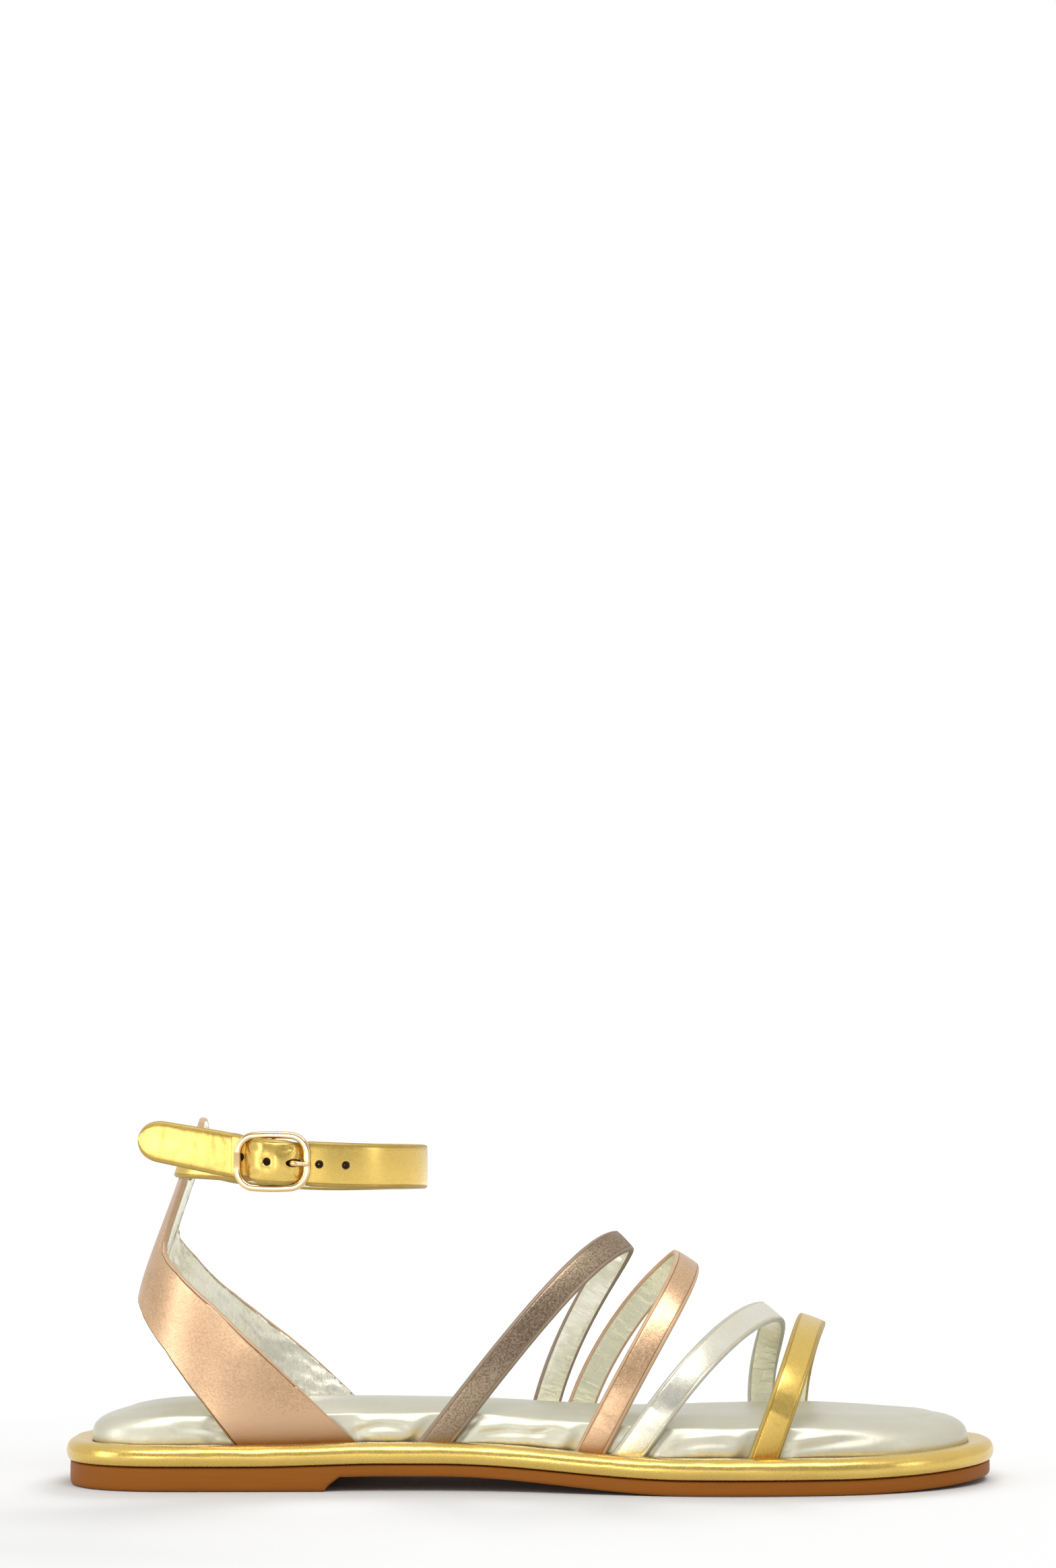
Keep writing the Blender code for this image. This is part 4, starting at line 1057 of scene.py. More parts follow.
def pad_levels(places):
    """The pad's side in rings from its base to its top, drawn in where the straps go down."""
    points, inward = outline_ring(places)
    sides = ring_sides(places)
    groove_x = (points + inward * GROOVE)[:, 0]
    feet = strap_feet()
    tuck, rise = read_profile(PAD_SIDE, PAD_RINGS)
    levels = []
    for inward_share, up in zip(tuck, rise):
        notch = pad_notch(groove_x, sides, RECESS_FLOOR + SEAM + PAD_HEIGHT * up - STRAP_LIP, feet)
        inset = PAD_MARGIN + PAD_TUCK * (inward_share + max(1 - inward_share, 0) * notch)
        flat = points + inward * inset[:, None]
        base = seat_height(flat[:, 0]) + RECESS_FLOOR + SEAM
        full = pad_top(flat[:, 0]) + PAD_LOFT - RECESS_FLOOR - SEAM
        behind = flat[:, 0] + SOLE_LENGTH / 2 - PAD_MARGIN
        full = full - PAD_HEEL_DROP * (1 - ease(behind, *PAD_HEEL_RUN)) * ease(up, 0.3, 1.0)
        height = base + full * up
        levels.append(np.column_stack([flat, height]))
    return np.asarray(levels), rise, inward, sides


def pad_creases(levels, rise, sides):
    """The depth of the long creases at each point of the pad's side."""
    x = levels[..., 0] / MM
    up = np.broadcast_to(rise[:, None], x.shape) * PAD_HEIGHT / MM
    depth = np.zeros_like(x)
    for side, start, middle, end, deep, width in PAD_CREASES:
        share = np.linspace(0, 1, 25)
        bend = [
            start[k] * (1 - share) ** 2 + 2 * middle[k] * share * (1 - share) + end[k] * share**2
            for k in (0, 1)
        ]
        reach = np.full(x.shape, 99.0)
        fade = np.zeros(x.shape)
        for t, px, pz in zip(share, bend[0], bend[1] * PAD_HEIGHT / MM):
            near = np.hypot((x - px) * 0.8, up - pz)
            closer = near < reach
            reach = np.where(closer, near, reach)
            fade = np.where(closer, 1 - abs(2 * t - 0.8) ** 3, fade)
        crease = bell(reach, 0, width) - 0.45 * bell(reach, 1.9 * width, 1.2 * width)
        depth += np.where(sides == side, crease * np.clip(fade, 0, 1) * deep, 0)
    return depth * MM


def make_pad(sizes):
    """The padded footbed, pulled over in foil: pinched at the straps, finely creased at its base."""
    places = stations(PAD_STEP)
    levels, rise, inward, sides = pad_levels(places)
    run = run_lengths(levels, 1).mean(axis=0)
    across = run_lengths(levels, 0).mean(axis=1)
    u, v = np.meshgrid(run / MM, across / MM, indexing="xy")
    low = bell(rise, 0.36, 0.13)[:, None]
    fine = -np.clip(ripple(u * 0.95, v * 0.10, 21.3), 0, None)
    broad = ripple(u * 0.045, v * 0.10, 5.5, 2)
    broad = broad * PAD_SIDE_SWELL * ease(rise, 0.25, 0.5)[:, None]
    push = fine * low * sizes.pad_crease + broad
    push -= pad_creases(levels, rise, sides)
    outward = np.column_stack([-inward, np.zeros(len(inward))])
    tilt = ease(rise, 0.60, 0.97)[:, None, None]
    direction = unit(outward[None] * (1 - tilt) + UP * tilt)
    levels = levels + direction * push[..., None]
    grid, marks = hoop(levels, 40, 3)
    top = marks == len(levels)
    crown_pad(grid, top)
    # Painted shade at the pad's base by the rand
    hollow = np.interp(marks, *PAD_PAINTED_SHADE)
    hollow = np.broadcast_to(hollow, grid.shape[:2]).copy()
    return skin("footbed_pad_cover", grid, attributes={"hollow": hollow})


def crown_pad(grid, top):
    """Raises the pad's top in a soft dome from its shoulder inwards, with slow unevenness."""
    inner = grid[:, top]
    first = np.argmax(top)
    lateral, medial = grid[:, first - 1, 1], grid[:, first + top.sum(), 1]
    beside = np.minimum(inner[..., 1] - lateral[:, None], medial[:, None] - inner[..., 1])
    x = inner[..., 0]
    ahead = np.minimum(x - x.min(), x.max() - x)
    reach = (np.clip(beside, 1e-5, None) ** -3.0 + np.clip(ahead, 1e-5, None) ** -3.0) ** (-1 / 3)
    rise = (1 - PAD_SIDE[-1][1]) * PAD_HEIGHT * (1 - np.clip(1 - reach / PAD_CROWN_RUN, 0, 1) ** 3)
    uneven = ripple(x * 30, inner[..., 1] * 42, 2.2, 2) * ease(reach, 0, PAD_CALM)
    grid[:, top, 2] += rise + uneven * PAD_TOP_SWELL


# Straps


EDGE_STEPS = 9
BACK_STEPS = 13
MIDDLE_STEPS = 15
# How far the painted shade reaches up a strap from the rand
BASE_SHADE_REACH = 4.6 * MM
# The fine line beside a strap's edge: how far in its points lie, and how deep
LINE_STEPS = (0.0, 0.10 * MM, 0.22 * MM, 0.40 * MM)
LINE_DEPTHS = (0.35, 1.0, 0.35, 0.0)
FACE_STEPS = MIDDLE_STEPS + 2 * len(LINE_STEPS)
# The zones of a strap's section, which are also its material slots
FACE, EDGE, LINING = 0, 1, 2


def edge_turn():
    """The angles round a strap's edge, from its face to its lining."""
    return np.linspace(math.pi / 2, -math.pi / 2, EDGE_STEPS + 2)[1:-1]


def section_zones(face, lining):
    """The zone of each of a section's points, with so many on its face and its lining."""
    return np.repeat((FACE, EDGE, LINING, EDGE), (face, EDGE_STEPS, lining, EDGE_STEPS))


def painted_base_shade(grid, line, depth):
    """The painted shade of a strap's points: along its fine edge lines, and deeper where it meets the
    rand.
    """
    above = grid[..., 2] - seat_height(grid[..., 0]) - RAND_RISE
    return np.maximum(line, depth * np.exp(-np.clip(above, 0, None) / BASE_SHADE_REACH))


def strap_section(half, wall, sizes):
    """A strap's closed section for each of its frames, as across and outward distances: a crowned
    face between fine edge lines, a round painted edge, the lining, and the other edge."""
    half, wall = np.atleast_1d(half)[:, None], np.atleast_1d(wall)[:, None]
    edge = np.minimum(wall / 2, half * 0.45)
    flat = half - edge
    steps = np.minimum(np.array(LINE_STEPS)[None], flat * 0.2)
    middle = np.linspace(-1, 1, MIDDLE_STEPS + 2)[None, 1:-1] * (flat - LINE_STEPS[-1] * 1.2)
    face = np.concatenate([-flat + steps, middle, (flat - steps)[:, ::-1]], axis=1)
    lines = np.array(LINE_DEPTHS + (0.0,) * MIDDLE_STEPS + LINE_DEPTHS[::-1])[None]
    hump = STRAP_CROWN * (1 - np.clip(np.abs(face) / np.maximum(flat, 1e-6), 0, 1) ** 2)
    out = wall / 2 + hump - lines * sizes.edge_line
    round_across = flat + edge * np.cos(edge_turn()[None])
    round_out = wall / 2 * np.sin(edge_turn()[None])
    back = np.linspace(1, -1, BACK_STEPS)[None] * flat
    back_out = -wall / 2 + LINING_ROUND * ease(np.abs(back), flat * 0.9, flat)
    across = np.concatenate([face, round_across, back, -round_across[:, ::-1]], axis=1)
    outward = np.concatenate([out, round_out, back_out, round_out[:, ::-1]], axis=1)
    return across, outward


def face_zones(zones):
    """The zone of each face between two neighbouring columns."""
    after = np.roll(zones, -1)
    return np.where(zones == after, zones, EDGE)


def strap_skin(name, centre, across, outward, half, wall, sizes, push):
    """A strap along its frames. push moves its points outward, as a function of the run along it
    and the distance across it."""
    side, out = strap_section(half, wall, sizes)
    zones = section_zones(FACE_STEPS, BACK_STEPS)
    run = np.concatenate([[0], np.cumsum(np.linalg.norm(np.diff(centre, axis=0), axis=1))])
    along = np.repeat(run[:, None] / MM, side.shape[1], 1) * 0.7
    wrinkle = ripple(along, side / MM * 0.18, len(name) * 1.7)
    inside = 1 - ease(np.abs(side), half[:, None] * 0.6, half[:, None] * 0.95)
    lining = (zones == LINING)[None] * inside
    out = out + lining * wrinkle * sizes.lining_crease
    out = out + push(run[:, None], side, zones)
    grid = centre[:, None] + across[:, None] * side[..., None] + outward[:, None] * out[..., None]
    # Painted shade along the fine lines beside the edges, and at the strap's foot by the rand
    line = np.zeros(side.shape)
    line[:, [1, FACE_STEPS - 2]] = 1.0
    line[:, [0, 2, FACE_STEPS - 3, FACE_STEPS - 1]] = 0.6
    return skin(name, grid, face_zones(zones), {"hollow": painted_base_shade(grid, line, 0.9)})


def bezier(start, handle, other, end, share):
    share = share[:, None]
    left = 1 - share
    return (
        start * left**3
        + handle * 3 * left**2 * share
        + other * 3 * left * share**2
        + end * share**3
    )


def foot_strap_frames(row):
    """A foot strap's centres and outward directions, from its lateral foot to its medial foot."""
    _, lateral, lean_out, medial, lean_in, crown, height, tilt, roundness = row
    tilt = math.radians(tilt)
    crown_normal = np.array((math.sin(tilt), 0, math.cos(tilt)))
    peak = np.array((station_x(crown), CROWN_Y * BALL_WIDTH, height * INSTEP_HEIGHT))
    feet = []
    for side, station, lean in ((LATERAL, lateral, lean_out), (MEDIAL, medial, lean_in)):
        lean = math.radians(lean)
        x = station_x(station)
        climb = pad_top(x) - STRAP_LIP
        rise = np.linspace(RECESS_FLOOR + SEAM - STRAP_LIP, climb, FOOT_STEPS)
        points, along = groove_point(x + math.tan(lean) * rise, side)
        points[:, 2] = seat_height(x) + STRAP_LIP + rise
        outward = np.stack([along[:, 1], -along[:, 0], np.zeros(FOOT_STEPS)], -1) * -side
        feet.append((points, outward, UP * math.cos(lean) + along[-1] * math.sin(lean)))
    across = feet[1][0][-1] - feet[0][0][-1]
    across[2] = 0
    across = unit(across)
    halves = []
    for (points, outward, climb), sign in zip(feet, (1, -1)):
        top = points[-1]
        rise = (peak[2] - top[2]) / climb[2] * ARCH_ROUNDNESS
        reach = abs(peak[1] - top[1]) / across[1] * roundness
        share = np.linspace(0, 1, ARCH_STEPS)
        arch = bezier(top, top + climb * rise, peak - across * sign * reach, peak, share)
        turned = unit(lerp(outward[-1], crown_normal, ease(share)[:, None]))
        halves.append((np.concatenate([points[:-1], arch]), np.concatenate([outward[:-1], turned])))
    centre = np.concatenate([halves[0][0], halves[1][0][-2::-1]])
    outward = np.concatenate([halves[0][1], halves[1][1][-2::-1]])
    return centre, outward


def make_foot_strap(row, sizes):
    centre, outward = foot_strap_frames(row)
    ahead = unit(np.gradient(centre, axis=0))
    across = unit(np.cross(ahead, outward))
    outward = unit(np.cross(across, ahead))
    half = np.full(len(centre), STRAP_WIDTH / 2)
    wall = np.full(len(centre), STRAP_WALL)
    seed = sum(map(ord, row[0])) % 37

    def creases(run, side, zones):
        total = run[-1, 0]
        from_foot = np.minimum(run, total - run)
        spread = bell(from_foot, *CREASE_SPREAD)
        along = np.broadcast_to(run / MM * 0.55, side.shape)
        fine = ripple(along, side / MM * 0.12, seed, 2)
        return (zones == FACE)[None] * fine * spread * STRAP_CREASE

    return strap_skin(f"{row[0]}_folded", centre, across, outward, half, wall, sizes, creases)


# Heel strap


def heel_strap_point(turn, height, side):
    """Points of the heel strap's middle surface, by their turn from the back and their height."""
    turn, height = np.broadcast_arrays(np.asarray(turn, float), np.asarray(height, float))
    reach, half = read_rows(HEEL_CUP, height / TAB_TOP)
    centre = CUP_CENTRE * SOLE_LENGTH
    lead = MEDIAL_LEAD * turn / HEEL_BASE_TURN if side == MEDIAL else 0.0
    angle = np.radians(turn * (1 + lead))
    x = centre - (reach * SOLE_LENGTH + centre) * np.cos(angle)
    y = half * BALL_WIDTH * np.sin(angle) * side
    low = (1 - ease(height, *BASE_BLEND)) * ease(turn, HEEL_BACK_TURN / 2, HEEL_BACK_TURN)
    y = y + (groove_point(x, side)[0][..., 1] - y) * low
    return np.stack([x, y, height], -1)


def band_edges(turn, side):
    """The band's lower and upper height at turns from the back."""
    low, high = read_straight(HEEL_BAND, turn)
    if side == MEDIAL:
        start, full, fade, end = FLARE_TURNS
        high = high + MEDIAL_FLARE * ease(turn, start, full) * (1 - ease(turn, fade, end))
    return low * TAB_TOP, high * TAB_TOP


def heel_strap_sheet():
    """The heel strap's middle surface, in rows from its lower edge to its upper edge."""
    band = np.linspace(TAB_TURN, HEEL_BASE_TURN, 110)
    turns = np.concatenate([np.linspace(0, TAB_TURN, 45)[:-1], band])
    halves = []
    for side in (LATERAL, MEDIAL):
        low, high = band_edges(turns, side)
        base_x = heel_strap_point(turns, BAND_BASE, side)[:, 0]
        foot = seat_height(base_x) + RECESS_FLOOR + SEAM
        bottom = np.where(turns >= HEEL_BACK_TURN, foot, low)
        share = np.linspace(0, 1, BAND_ROWS)
        height = bottom[:, None] + (high - bottom)[:, None] * share[None]
        halves.append(heel_strap_point(turns[:, None], height, side))
    return np.concatenate([halves[0][::-1], halves[1][1:]])


def make_heel_strap(sizes):
    sheet = heel_strap_sheet()
    away = sheet - np.array((CUP_CENTRE * SOLE_LENGTH, 0, 0))
    away[..., 2] = 0
    normals = grid_normals(sheet)
    normals = unit(normals * np.sign((normals * away).sum(-1, keepdims=True)))
    up = unit(np.gradient(sheet, axis=1))
    half = HEEL_STRAP_WALL / 2
    turn = edge_turn()
    top = sheet[:, -1:] + (normals[:, -1:] * np.sin(turn)[None, :, None]) * half
    top = top + up[:, -1:] * (np.cos(turn)[None, :, None] - 1) * half
    low = sheet[:, :1] + (normals[:, :1] * -np.sin(turn)[None, :, None]) * half
    low = low - up[:, :1] * (np.cos(turn)[None, :, None] - 1) * half
    inset = np.zeros(BAND_ROWS)
    inset[0], inset[-1] = half, -half
    face = sheet + normals * half + up * inset[None, :, None]
    lining = (sheet - normals * half)[:, ::-1] + up[:, ::-1] * inset[::-1][None, :, None]
    run = run_lengths(sheet, 0).mean(axis=1) / MM
    rise = run_lengths(sheet, 1) / MM
    wrinkle = ripple(np.repeat(run[:, None], BAND_ROWS, 1) * 0.25, rise * 0.45, 14.2)
    wrinkle[:, [0, -1]] = 0
    lining = lining - normals[:, ::-1] * wrinkle[:, ::-1, None] * sizes.lining_crease
    grid = np.concatenate([face, top, lining, low], axis=1)
    zones = section_zones(BAND_ROWS, BAND_ROWS)
    # Painted shade along the band's edges, and at its foot by the rand
    line = np.zeros(grid.shape[:2])
    line[:, [0, BAND_ROWS - 1]] = 0.9
    return skin("heel_strap_band", grid, face_zones(zones), {"hollow": painted_base_shade(grid, line, 1.0)})


def slit_cutter(side):
    """A rounded box that cuts one of the tab's slits, turned to lean with the tab."""
    middle = (SLIT_INNER + SLIT_OUTER) / 2
    half = read_rows(HEEL_CUP, TAB_STRIP_HEIGHT / TAB_TOP)[1] * BALL_WIDTH
    turn = math.degrees(math.asin(middle / half))
    back = heel_strap_point(turn, TAB_STRIP_HEIGHT, side)
    top = heel_strap_point(turn, TAB_TOP, side)
    lean = math.atan2(top[0] - back[0], top[2] - back[2])
    shape = bmesh.new()
    bmesh.ops.create_cube(shape, size=1)
    height = (ANKLE_WIDTH + 2 * SLIT_PLAY) / math.cos(lean)
    bmesh.ops.scale(shape, vec=(SLIT_DEPTH, SLIT_OUTER - SLIT_INNER, height), verts=shape.verts)
    along = [e for e in shape.edges if abs((e.verts[0].co - e.verts[1].co).x) > SLIT_DEPTH / 2]
    soft = {"offset": SLIT_ROUND, "segments": 5, "profile": 0.5, "affect": "EDGES"}
    bmesh.ops.bevel(shape, geom=along, **soft)
    turned = Euler((0, lean, 0)).to_matrix()
    bmesh.ops.rotate(shape, cent=(0, 0, 0), matrix=turned, verts=shape.verts)
    bmesh.ops.translate(shape, vec=(back[0], middle * side, TAB_STRIP_HEIGHT), verts=shape.verts)
    return loose(shape, "slit")


def bake(obj):
    """Makes what an object's modifiers give its own mesh."""
    bpy.context.view_layer.update()
    evaluated = obj.evaluated_get(bpy.context.evaluated_depsgraph_get())
    made = bpy.data.meshes.new_from_object(evaluated)
    obj.modifiers.clear()
    obj.data = made


def carve(obj, cutters, slot, materials):
    """Cuts the cutters out of a piece for good. The cut faces take the material at slot."""
    for one in (obj, *cutters):
        for material in materials:
            one.data.materials.append(material)
    for cutter in cutters:
        boolean = obj.modifiers.new(cutter.name, "BOOLEAN")
        boolean.operation = "DIFFERENCE"
        boolean.object = cutter
        for face in cutter.data.polygons:
            face.material_index = slot
    bake(obj)
    for cutter in cutters:
        bpy.data.objects.remove(cutter, do_unlink=True)


# Repeated parts


REPEAT_INPUTS = (
    ("Points", "Geometry"),
    ("Width", "Float"),
    ("Depth", "Float"),
    ("Unevenness", "Float"),
    ("Seed", "Int"),
    ("Material", "Material"),
)


def repeat_tree(name, kind):
    """A node tree that sets one small shape on each point, turned and sized by its attributes."""
    tree = bpy.data.node_groups.new(name, "GeometryNodeTree")
    for label, holds in REPEAT_INPUTS:
        tree.interface.new_socket(label, in_out="INPUT", socket_type=f"NodeSocket{holds}")
    tree.interface.new_socket("Parts", in_out="OUTPUT", socket_type="NodeSocketGeometry")
    given = add_node(tree, "NodeGroupInput").outputs
    if kind == "rib":
        size = add_node(tree, "ShaderNodeCombineXYZ", {0: given["Width"], 1: 1.0, 2: given["Depth"]})
        part = add_node(tree, "GeometryNodeMeshCube", {"Size": size.outputs[0], "Vertices Y": 12})
    else:
        path = add_node(tree, "GeometryNodeCurvePrimitiveCircle", {"Radius": given["Width"]})
        wire = add_node(tree, "GeometryNodeCurvePrimitiveCircle", {"Radius": given["Depth"], 0: 10})
        lines = {"Curve": path.outputs[0], "Profile Curve": wire.outputs[0]}
        part = add_node(tree, "GeometryNodeCurveToMesh", lines)
    stored = "GeometryNodeInputNamedAttribute"
    facing = add_node(tree, stored, {"Name": "facing"}, data_type="FLOAT_VECTOR").outputs[0]
    reach = add_node(tree, stored, {"Name": "reach"}, data_type="FLOAT").outputs[0]
    turned = add_node(tree, "FunctionNodeAlignRotationToVector", {"Vector": facing}, axis="Z")
    random = add_node(tree, "FunctionNodeRandomValue", {"Seed": given["Seed"]}, data_type="FLOAT")
    span = math_node(tree, "SUBTRACT", random.outputs[1], 0.5)
    span = math_node(tree, "MULTIPLY", span, given["Unevenness"])
    span = math_node(tree, "ADD", span, 1.0)
    along = math_node(tree, "MULTIPLY", span, reach)
    scale = add_node(tree, "ShaderNodeCombineXYZ", {0: span, 1: along, 2: 1.0})
    places = {
        "Points": given["Points"],
        "Instance": part.outputs[0],
        "Rotation": turned.outputs[0],
        "Scale": scale.outputs[0],
    }
    parts = add_node(tree, "GeometryNodeInstanceOnPoints", places)
    real = add_node(tree, "GeometryNodeRealizeInstances", {0: parts.outputs[0]})
    dress = {"Geometry": real.outputs[0], "Material": given["Material"]}
    dressed = add_node(tree, "GeometryNodeSetMaterial", dress)
    add_node(tree, "NodeGroupOutput", {0: dressed.outputs[0]})
    return tree


def repeated(name, tree, points, facing, reach, values):
    """The parts that a node tree sets on the points, as one plain mesh."""
    mesh = bpy.data.meshes.new(name)
    mesh.from_pydata(np.asarray(points).tolist(), [], [])
    stored = mesh.attributes.new("facing", "FLOAT_VECTOR", "POINT")
    stored.data.foreach_set("vector", np.asarray(facing, np.float32).ravel())
    stored = mesh.attributes.new("reach", "FLOAT", "POINT")
    stored.data.foreach_set("value", np.asarray(reach, np.float32).ravel())
    obj = placed(name, mesh)
    modifier = obj.modifiers.new("repeat", "NODES")
    modifier.node_group = tree
    sockets = {item.name: item.identifier for item in tree.interface.items_tree}
    for key, value in values.items():
        modifier[sockets[key]] = value
    obj.update_tag()
    bake(obj)
    return obj


def make_tread_ribs(material):
    """The low ribs across the outsole's tread, under the heel and the forefoot."""
    rear, breast = -SOLE_LENGTH / 2, station_x(BREAST)
    heel = np.arange(rear + RIB_HEEL_START, breast - RIB_HEEL_END, RIB_PITCH)
    fore = np.arange(station_x(RIB_FORE_START), SOLE_LENGTH / 2 - RIB_TOE_END, RIB_PITCH)
    x = np.concatenate([heel, fore])
    lateral, medial = edges(x)
    centre = np.stack([x, (lateral + medial) / 2, tread_height(x) + TREAD_DEPTH * RIB_MIDDLE], -1)
    reach = medial - lateral - 2 * RIB_INSET
    small = 0.5 * MM
    slope = (tread_height(x + small) - tread_height(x - small)) / (2 * small)
    facing = unit(np.stack([-slope, np.zeros_like(x), np.ones_like(x)], -1))
    values = {
        "Width": RIB_WIDTH,
        "Depth": TREAD_DEPTH,
        "Unevenness": 0.01,
        "Seed": 4,
        "Material": material,
    }
    return repeated("tread_ribs", repeat_tree("tread_ribs", "rib"), centre, facing, reach, values)


def make_hole_rims(material):
    """The fine lip round each punched hole, in the near-black leather of the holes: painted shade at
    its edge.
    """
    centre, normal = hole_places()
    keep = [index for index in range(HOLE_COUNT) if index != PRONG_HOLE]
    lifted = centre + normal * (ANKLE_WALL / 2 + hole_lift())[:, None]
    values = {
        "Width": HOLE_RADIUS,
        "Depth": RIM_WIRE,
        "Unevenness": 0.04,
        "Seed": 7,
        "Material": material,
    }
    tree = repeat_tree("hole_rims", "rim")
    return repeated("hole_rims", tree, lifted[keep], normal[keep], np.ones(len(keep)), values)


# Ankle strap


def loop_table():
    """The loop that the ankle strap follows, from the tab's middle round the medial side, with
    its length so far at each step."""
    rear = heel_strap_point(0, TAB_STRIP_HEIGHT, MEDIAL)[0]
    turn = np.linspace(0, 2 * math.pi, LOOP_STEPS)
    x = (LOOP_FRONT + rear) / 2 - (LOOP_FRONT - rear) / 2 * np.cos(turn)
    y = LOOP_HALF_WIDTH * np.sin(turn)
    steps = np.hypot(np.diff(x), np.diff(y))
    return np.concatenate([[0], np.cumsum(steps)]), x, y


LOOP = loop_table()
LOOP_LENGTH = LOOP[0][-1]
BAR_ALONG = LOOP[0][(LOOP[1] >= BUCKLE_BAR) & (LOOP[2] < 0)].max() - LOOP_LENGTH


def loop_point(along):
    """The loop's points, outward directions and directions ahead, at lengths from the tab."""

    def read(at):
        at = np.mod(at, LOOP_LENGTH)
        x, y = (np.interp(at, LOOP[0], LOOP[axis]) for axis in (1, 2))
        return np.stack([x, y, at * 0], -1)

    along = np.asarray(along, float)
    ahead = unit(read(along + SMALL_STEP) - read(along - SMALL_STEP))
    return read(along), np.stack([-ahead[..., 1], ahead[..., 0], ahead[..., 2]], -1), ahead


def tab_lean():
    low = heel_strap_point(0, TAB_STRIP_HEIGHT - ANKLE_WIDTH / 2, MEDIAL)
    high = heel_strap_point(0, TAB_STRIP_HEIGHT + ANKLE_WIDTH / 2, MEDIAL)
    return math.atan2(high[0] - low[0], high[2] - low[2])


def stand_off(along):
    """The strap's stand-off from the loop line, on its first and on its second pass."""
    along = np.asarray(along, float)
    offset = BUCKLE_STANDOFF - BAR_SET
    lift = (HEEL_STRAP_WALL / 2 + ANKLE_PLAY + ANKLE_WALL / 2) / math.cos(tab_lean())
    away = np.abs(along)
    turn = np.clip((away - SLIT_INNER) / (SLIT_OUTER - SLIT_INNER), 0, 1)
    woven = -lift * np.cos(math.pi * turn)
    woven = woven * (1 - ease(away, SLIT_OUTER + WEAVE_HOLD, SLIT_OUTER + WEAVE_FADE))
    under = 1 - ease(along, BAR_ALONG + UNDERLAP_FADE[0], BAR_ALONG + UNDERLAP_FADE[1])
    near_bar = 1 - ease(along, BAR_ALONG, BAR_ALONG + FOLD_FADE)
    inner = -(ANKLE_WALL + ANKLE_PLAY)
    first = woven + under * (inner + (offset - FOLD_RADIUS - inner) * near_bar)
    hump = offset + FOLD_RADIUS + FOLD_WALL / 2 + ANKLE_PLAY + ANKLE_WALL / 2
    past = np.abs(along - LOOP_LENGTH - BAR_ALONG)
    second = hump * (1 - ease(past, FOLD_LENGTH / 2, BUCKLE_LENGTH / 2 - 2 * BUCKLE_WIRE))
    return np.where(along < LOOP_LENGTH / 2, first, second)


def strap_half(along):
    away = np.minimum(np.abs(along - BAR_ALONG), np.abs(along - BAR_ALONG - LOOP_LENGTH))
    swell = BUCKLE_SWELL * (1 - ease(away, *SWELL_FADE)) * (along > 0)
    return ANKLE_WIDTH / 2 * (BUCKLE_PINCH + (1 - BUCKLE_PINCH) * ease(away, *PINCH_FADE) + swell)


def strip_height(along):
    return TAB_STRIP_HEIGHT * read_rows(ANKLE_HEIGHTS, (along - BAR_ALONG) / LOOP_LENGTH)[0]


def ankle_frames():
    """The ankle strap's frames: its fold round the buckle's bar, its loop and its free tail."""
    fold = fold_frames()
    last = LOOP_LENGTH + BAR_ALONG + BUCKLE_LENGTH / 2 + TAIL_START
    along = np.arange(BAR_ALONG + LOOP_START, last, ANKLE_STEP)
    here, outward, _ = loop_point(along)
    centre = here + outward * stand_off(along)[:, None]
    centre[:, 2] = strip_height(along)
    lean = tab_lean() * (1 - ease(np.abs(along), *TAB_LEAN_FADE))
    across = np.stack([np.sin(lean), np.zeros_like(lean), np.cos(lean)], -1)
    ahead = np.gradient(centre, axis=0)
    ahead[:, 2] = 0
    facing = unit(np.cross(across, ahead))
    thin = 1 - ease(along, BAR_ALONG, BAR_ALONG + FOLD_THINNING)
    wall = ANKLE_WALL + (FOLD_WALL - ANKLE_WALL) * thin
    loop = (centre, across, facing, strap_half(along), wall)
    tail = tail_frames(centre[-1], facing[-1], float(strap_half(along)[-1]), float(wall[-1]))
    marks = np.concatenate([np.full(len(fold[0]), -1.0), along, np.full(len(tail[0]), 1.0)])
    return [np.concatenate(parts) for parts in zip(fold, loop, tail)], marks


def fold_frames():
    """The strap's buckle end, thinned and folded round the centre bar, from its outer leg."""
    here, outward, ahead = loop_point(BAR_ALONG)
    centre = here + outward * (BUCKLE_STANDOFF - BAR_SET)
    centre[2] = strip_height(BAR_ALONG)
    legs = np.linspace(1, 0.15, 5)[:, None]
    straight = centre + ahead * FOLD_LENGTH * legs + outward * FOLD_RADIUS
    turn = np.linspace(0, math.pi, 22)[:, None]
    spokes = outward * np.cos(turn) - ahead * np.sin(turn)
    points = np.concatenate([straight, centre + spokes * FOLD_RADIUS])
    facing = np.concatenate([np.repeat(outward[None], 5, 0), spokes])
    count = len(points)
    half = np.full(count, float(strap_half(BAR_ALONG)))
    return points, np.repeat(UP[None], count, 0), -facing, half, np.full(count, FOLD_WALL)


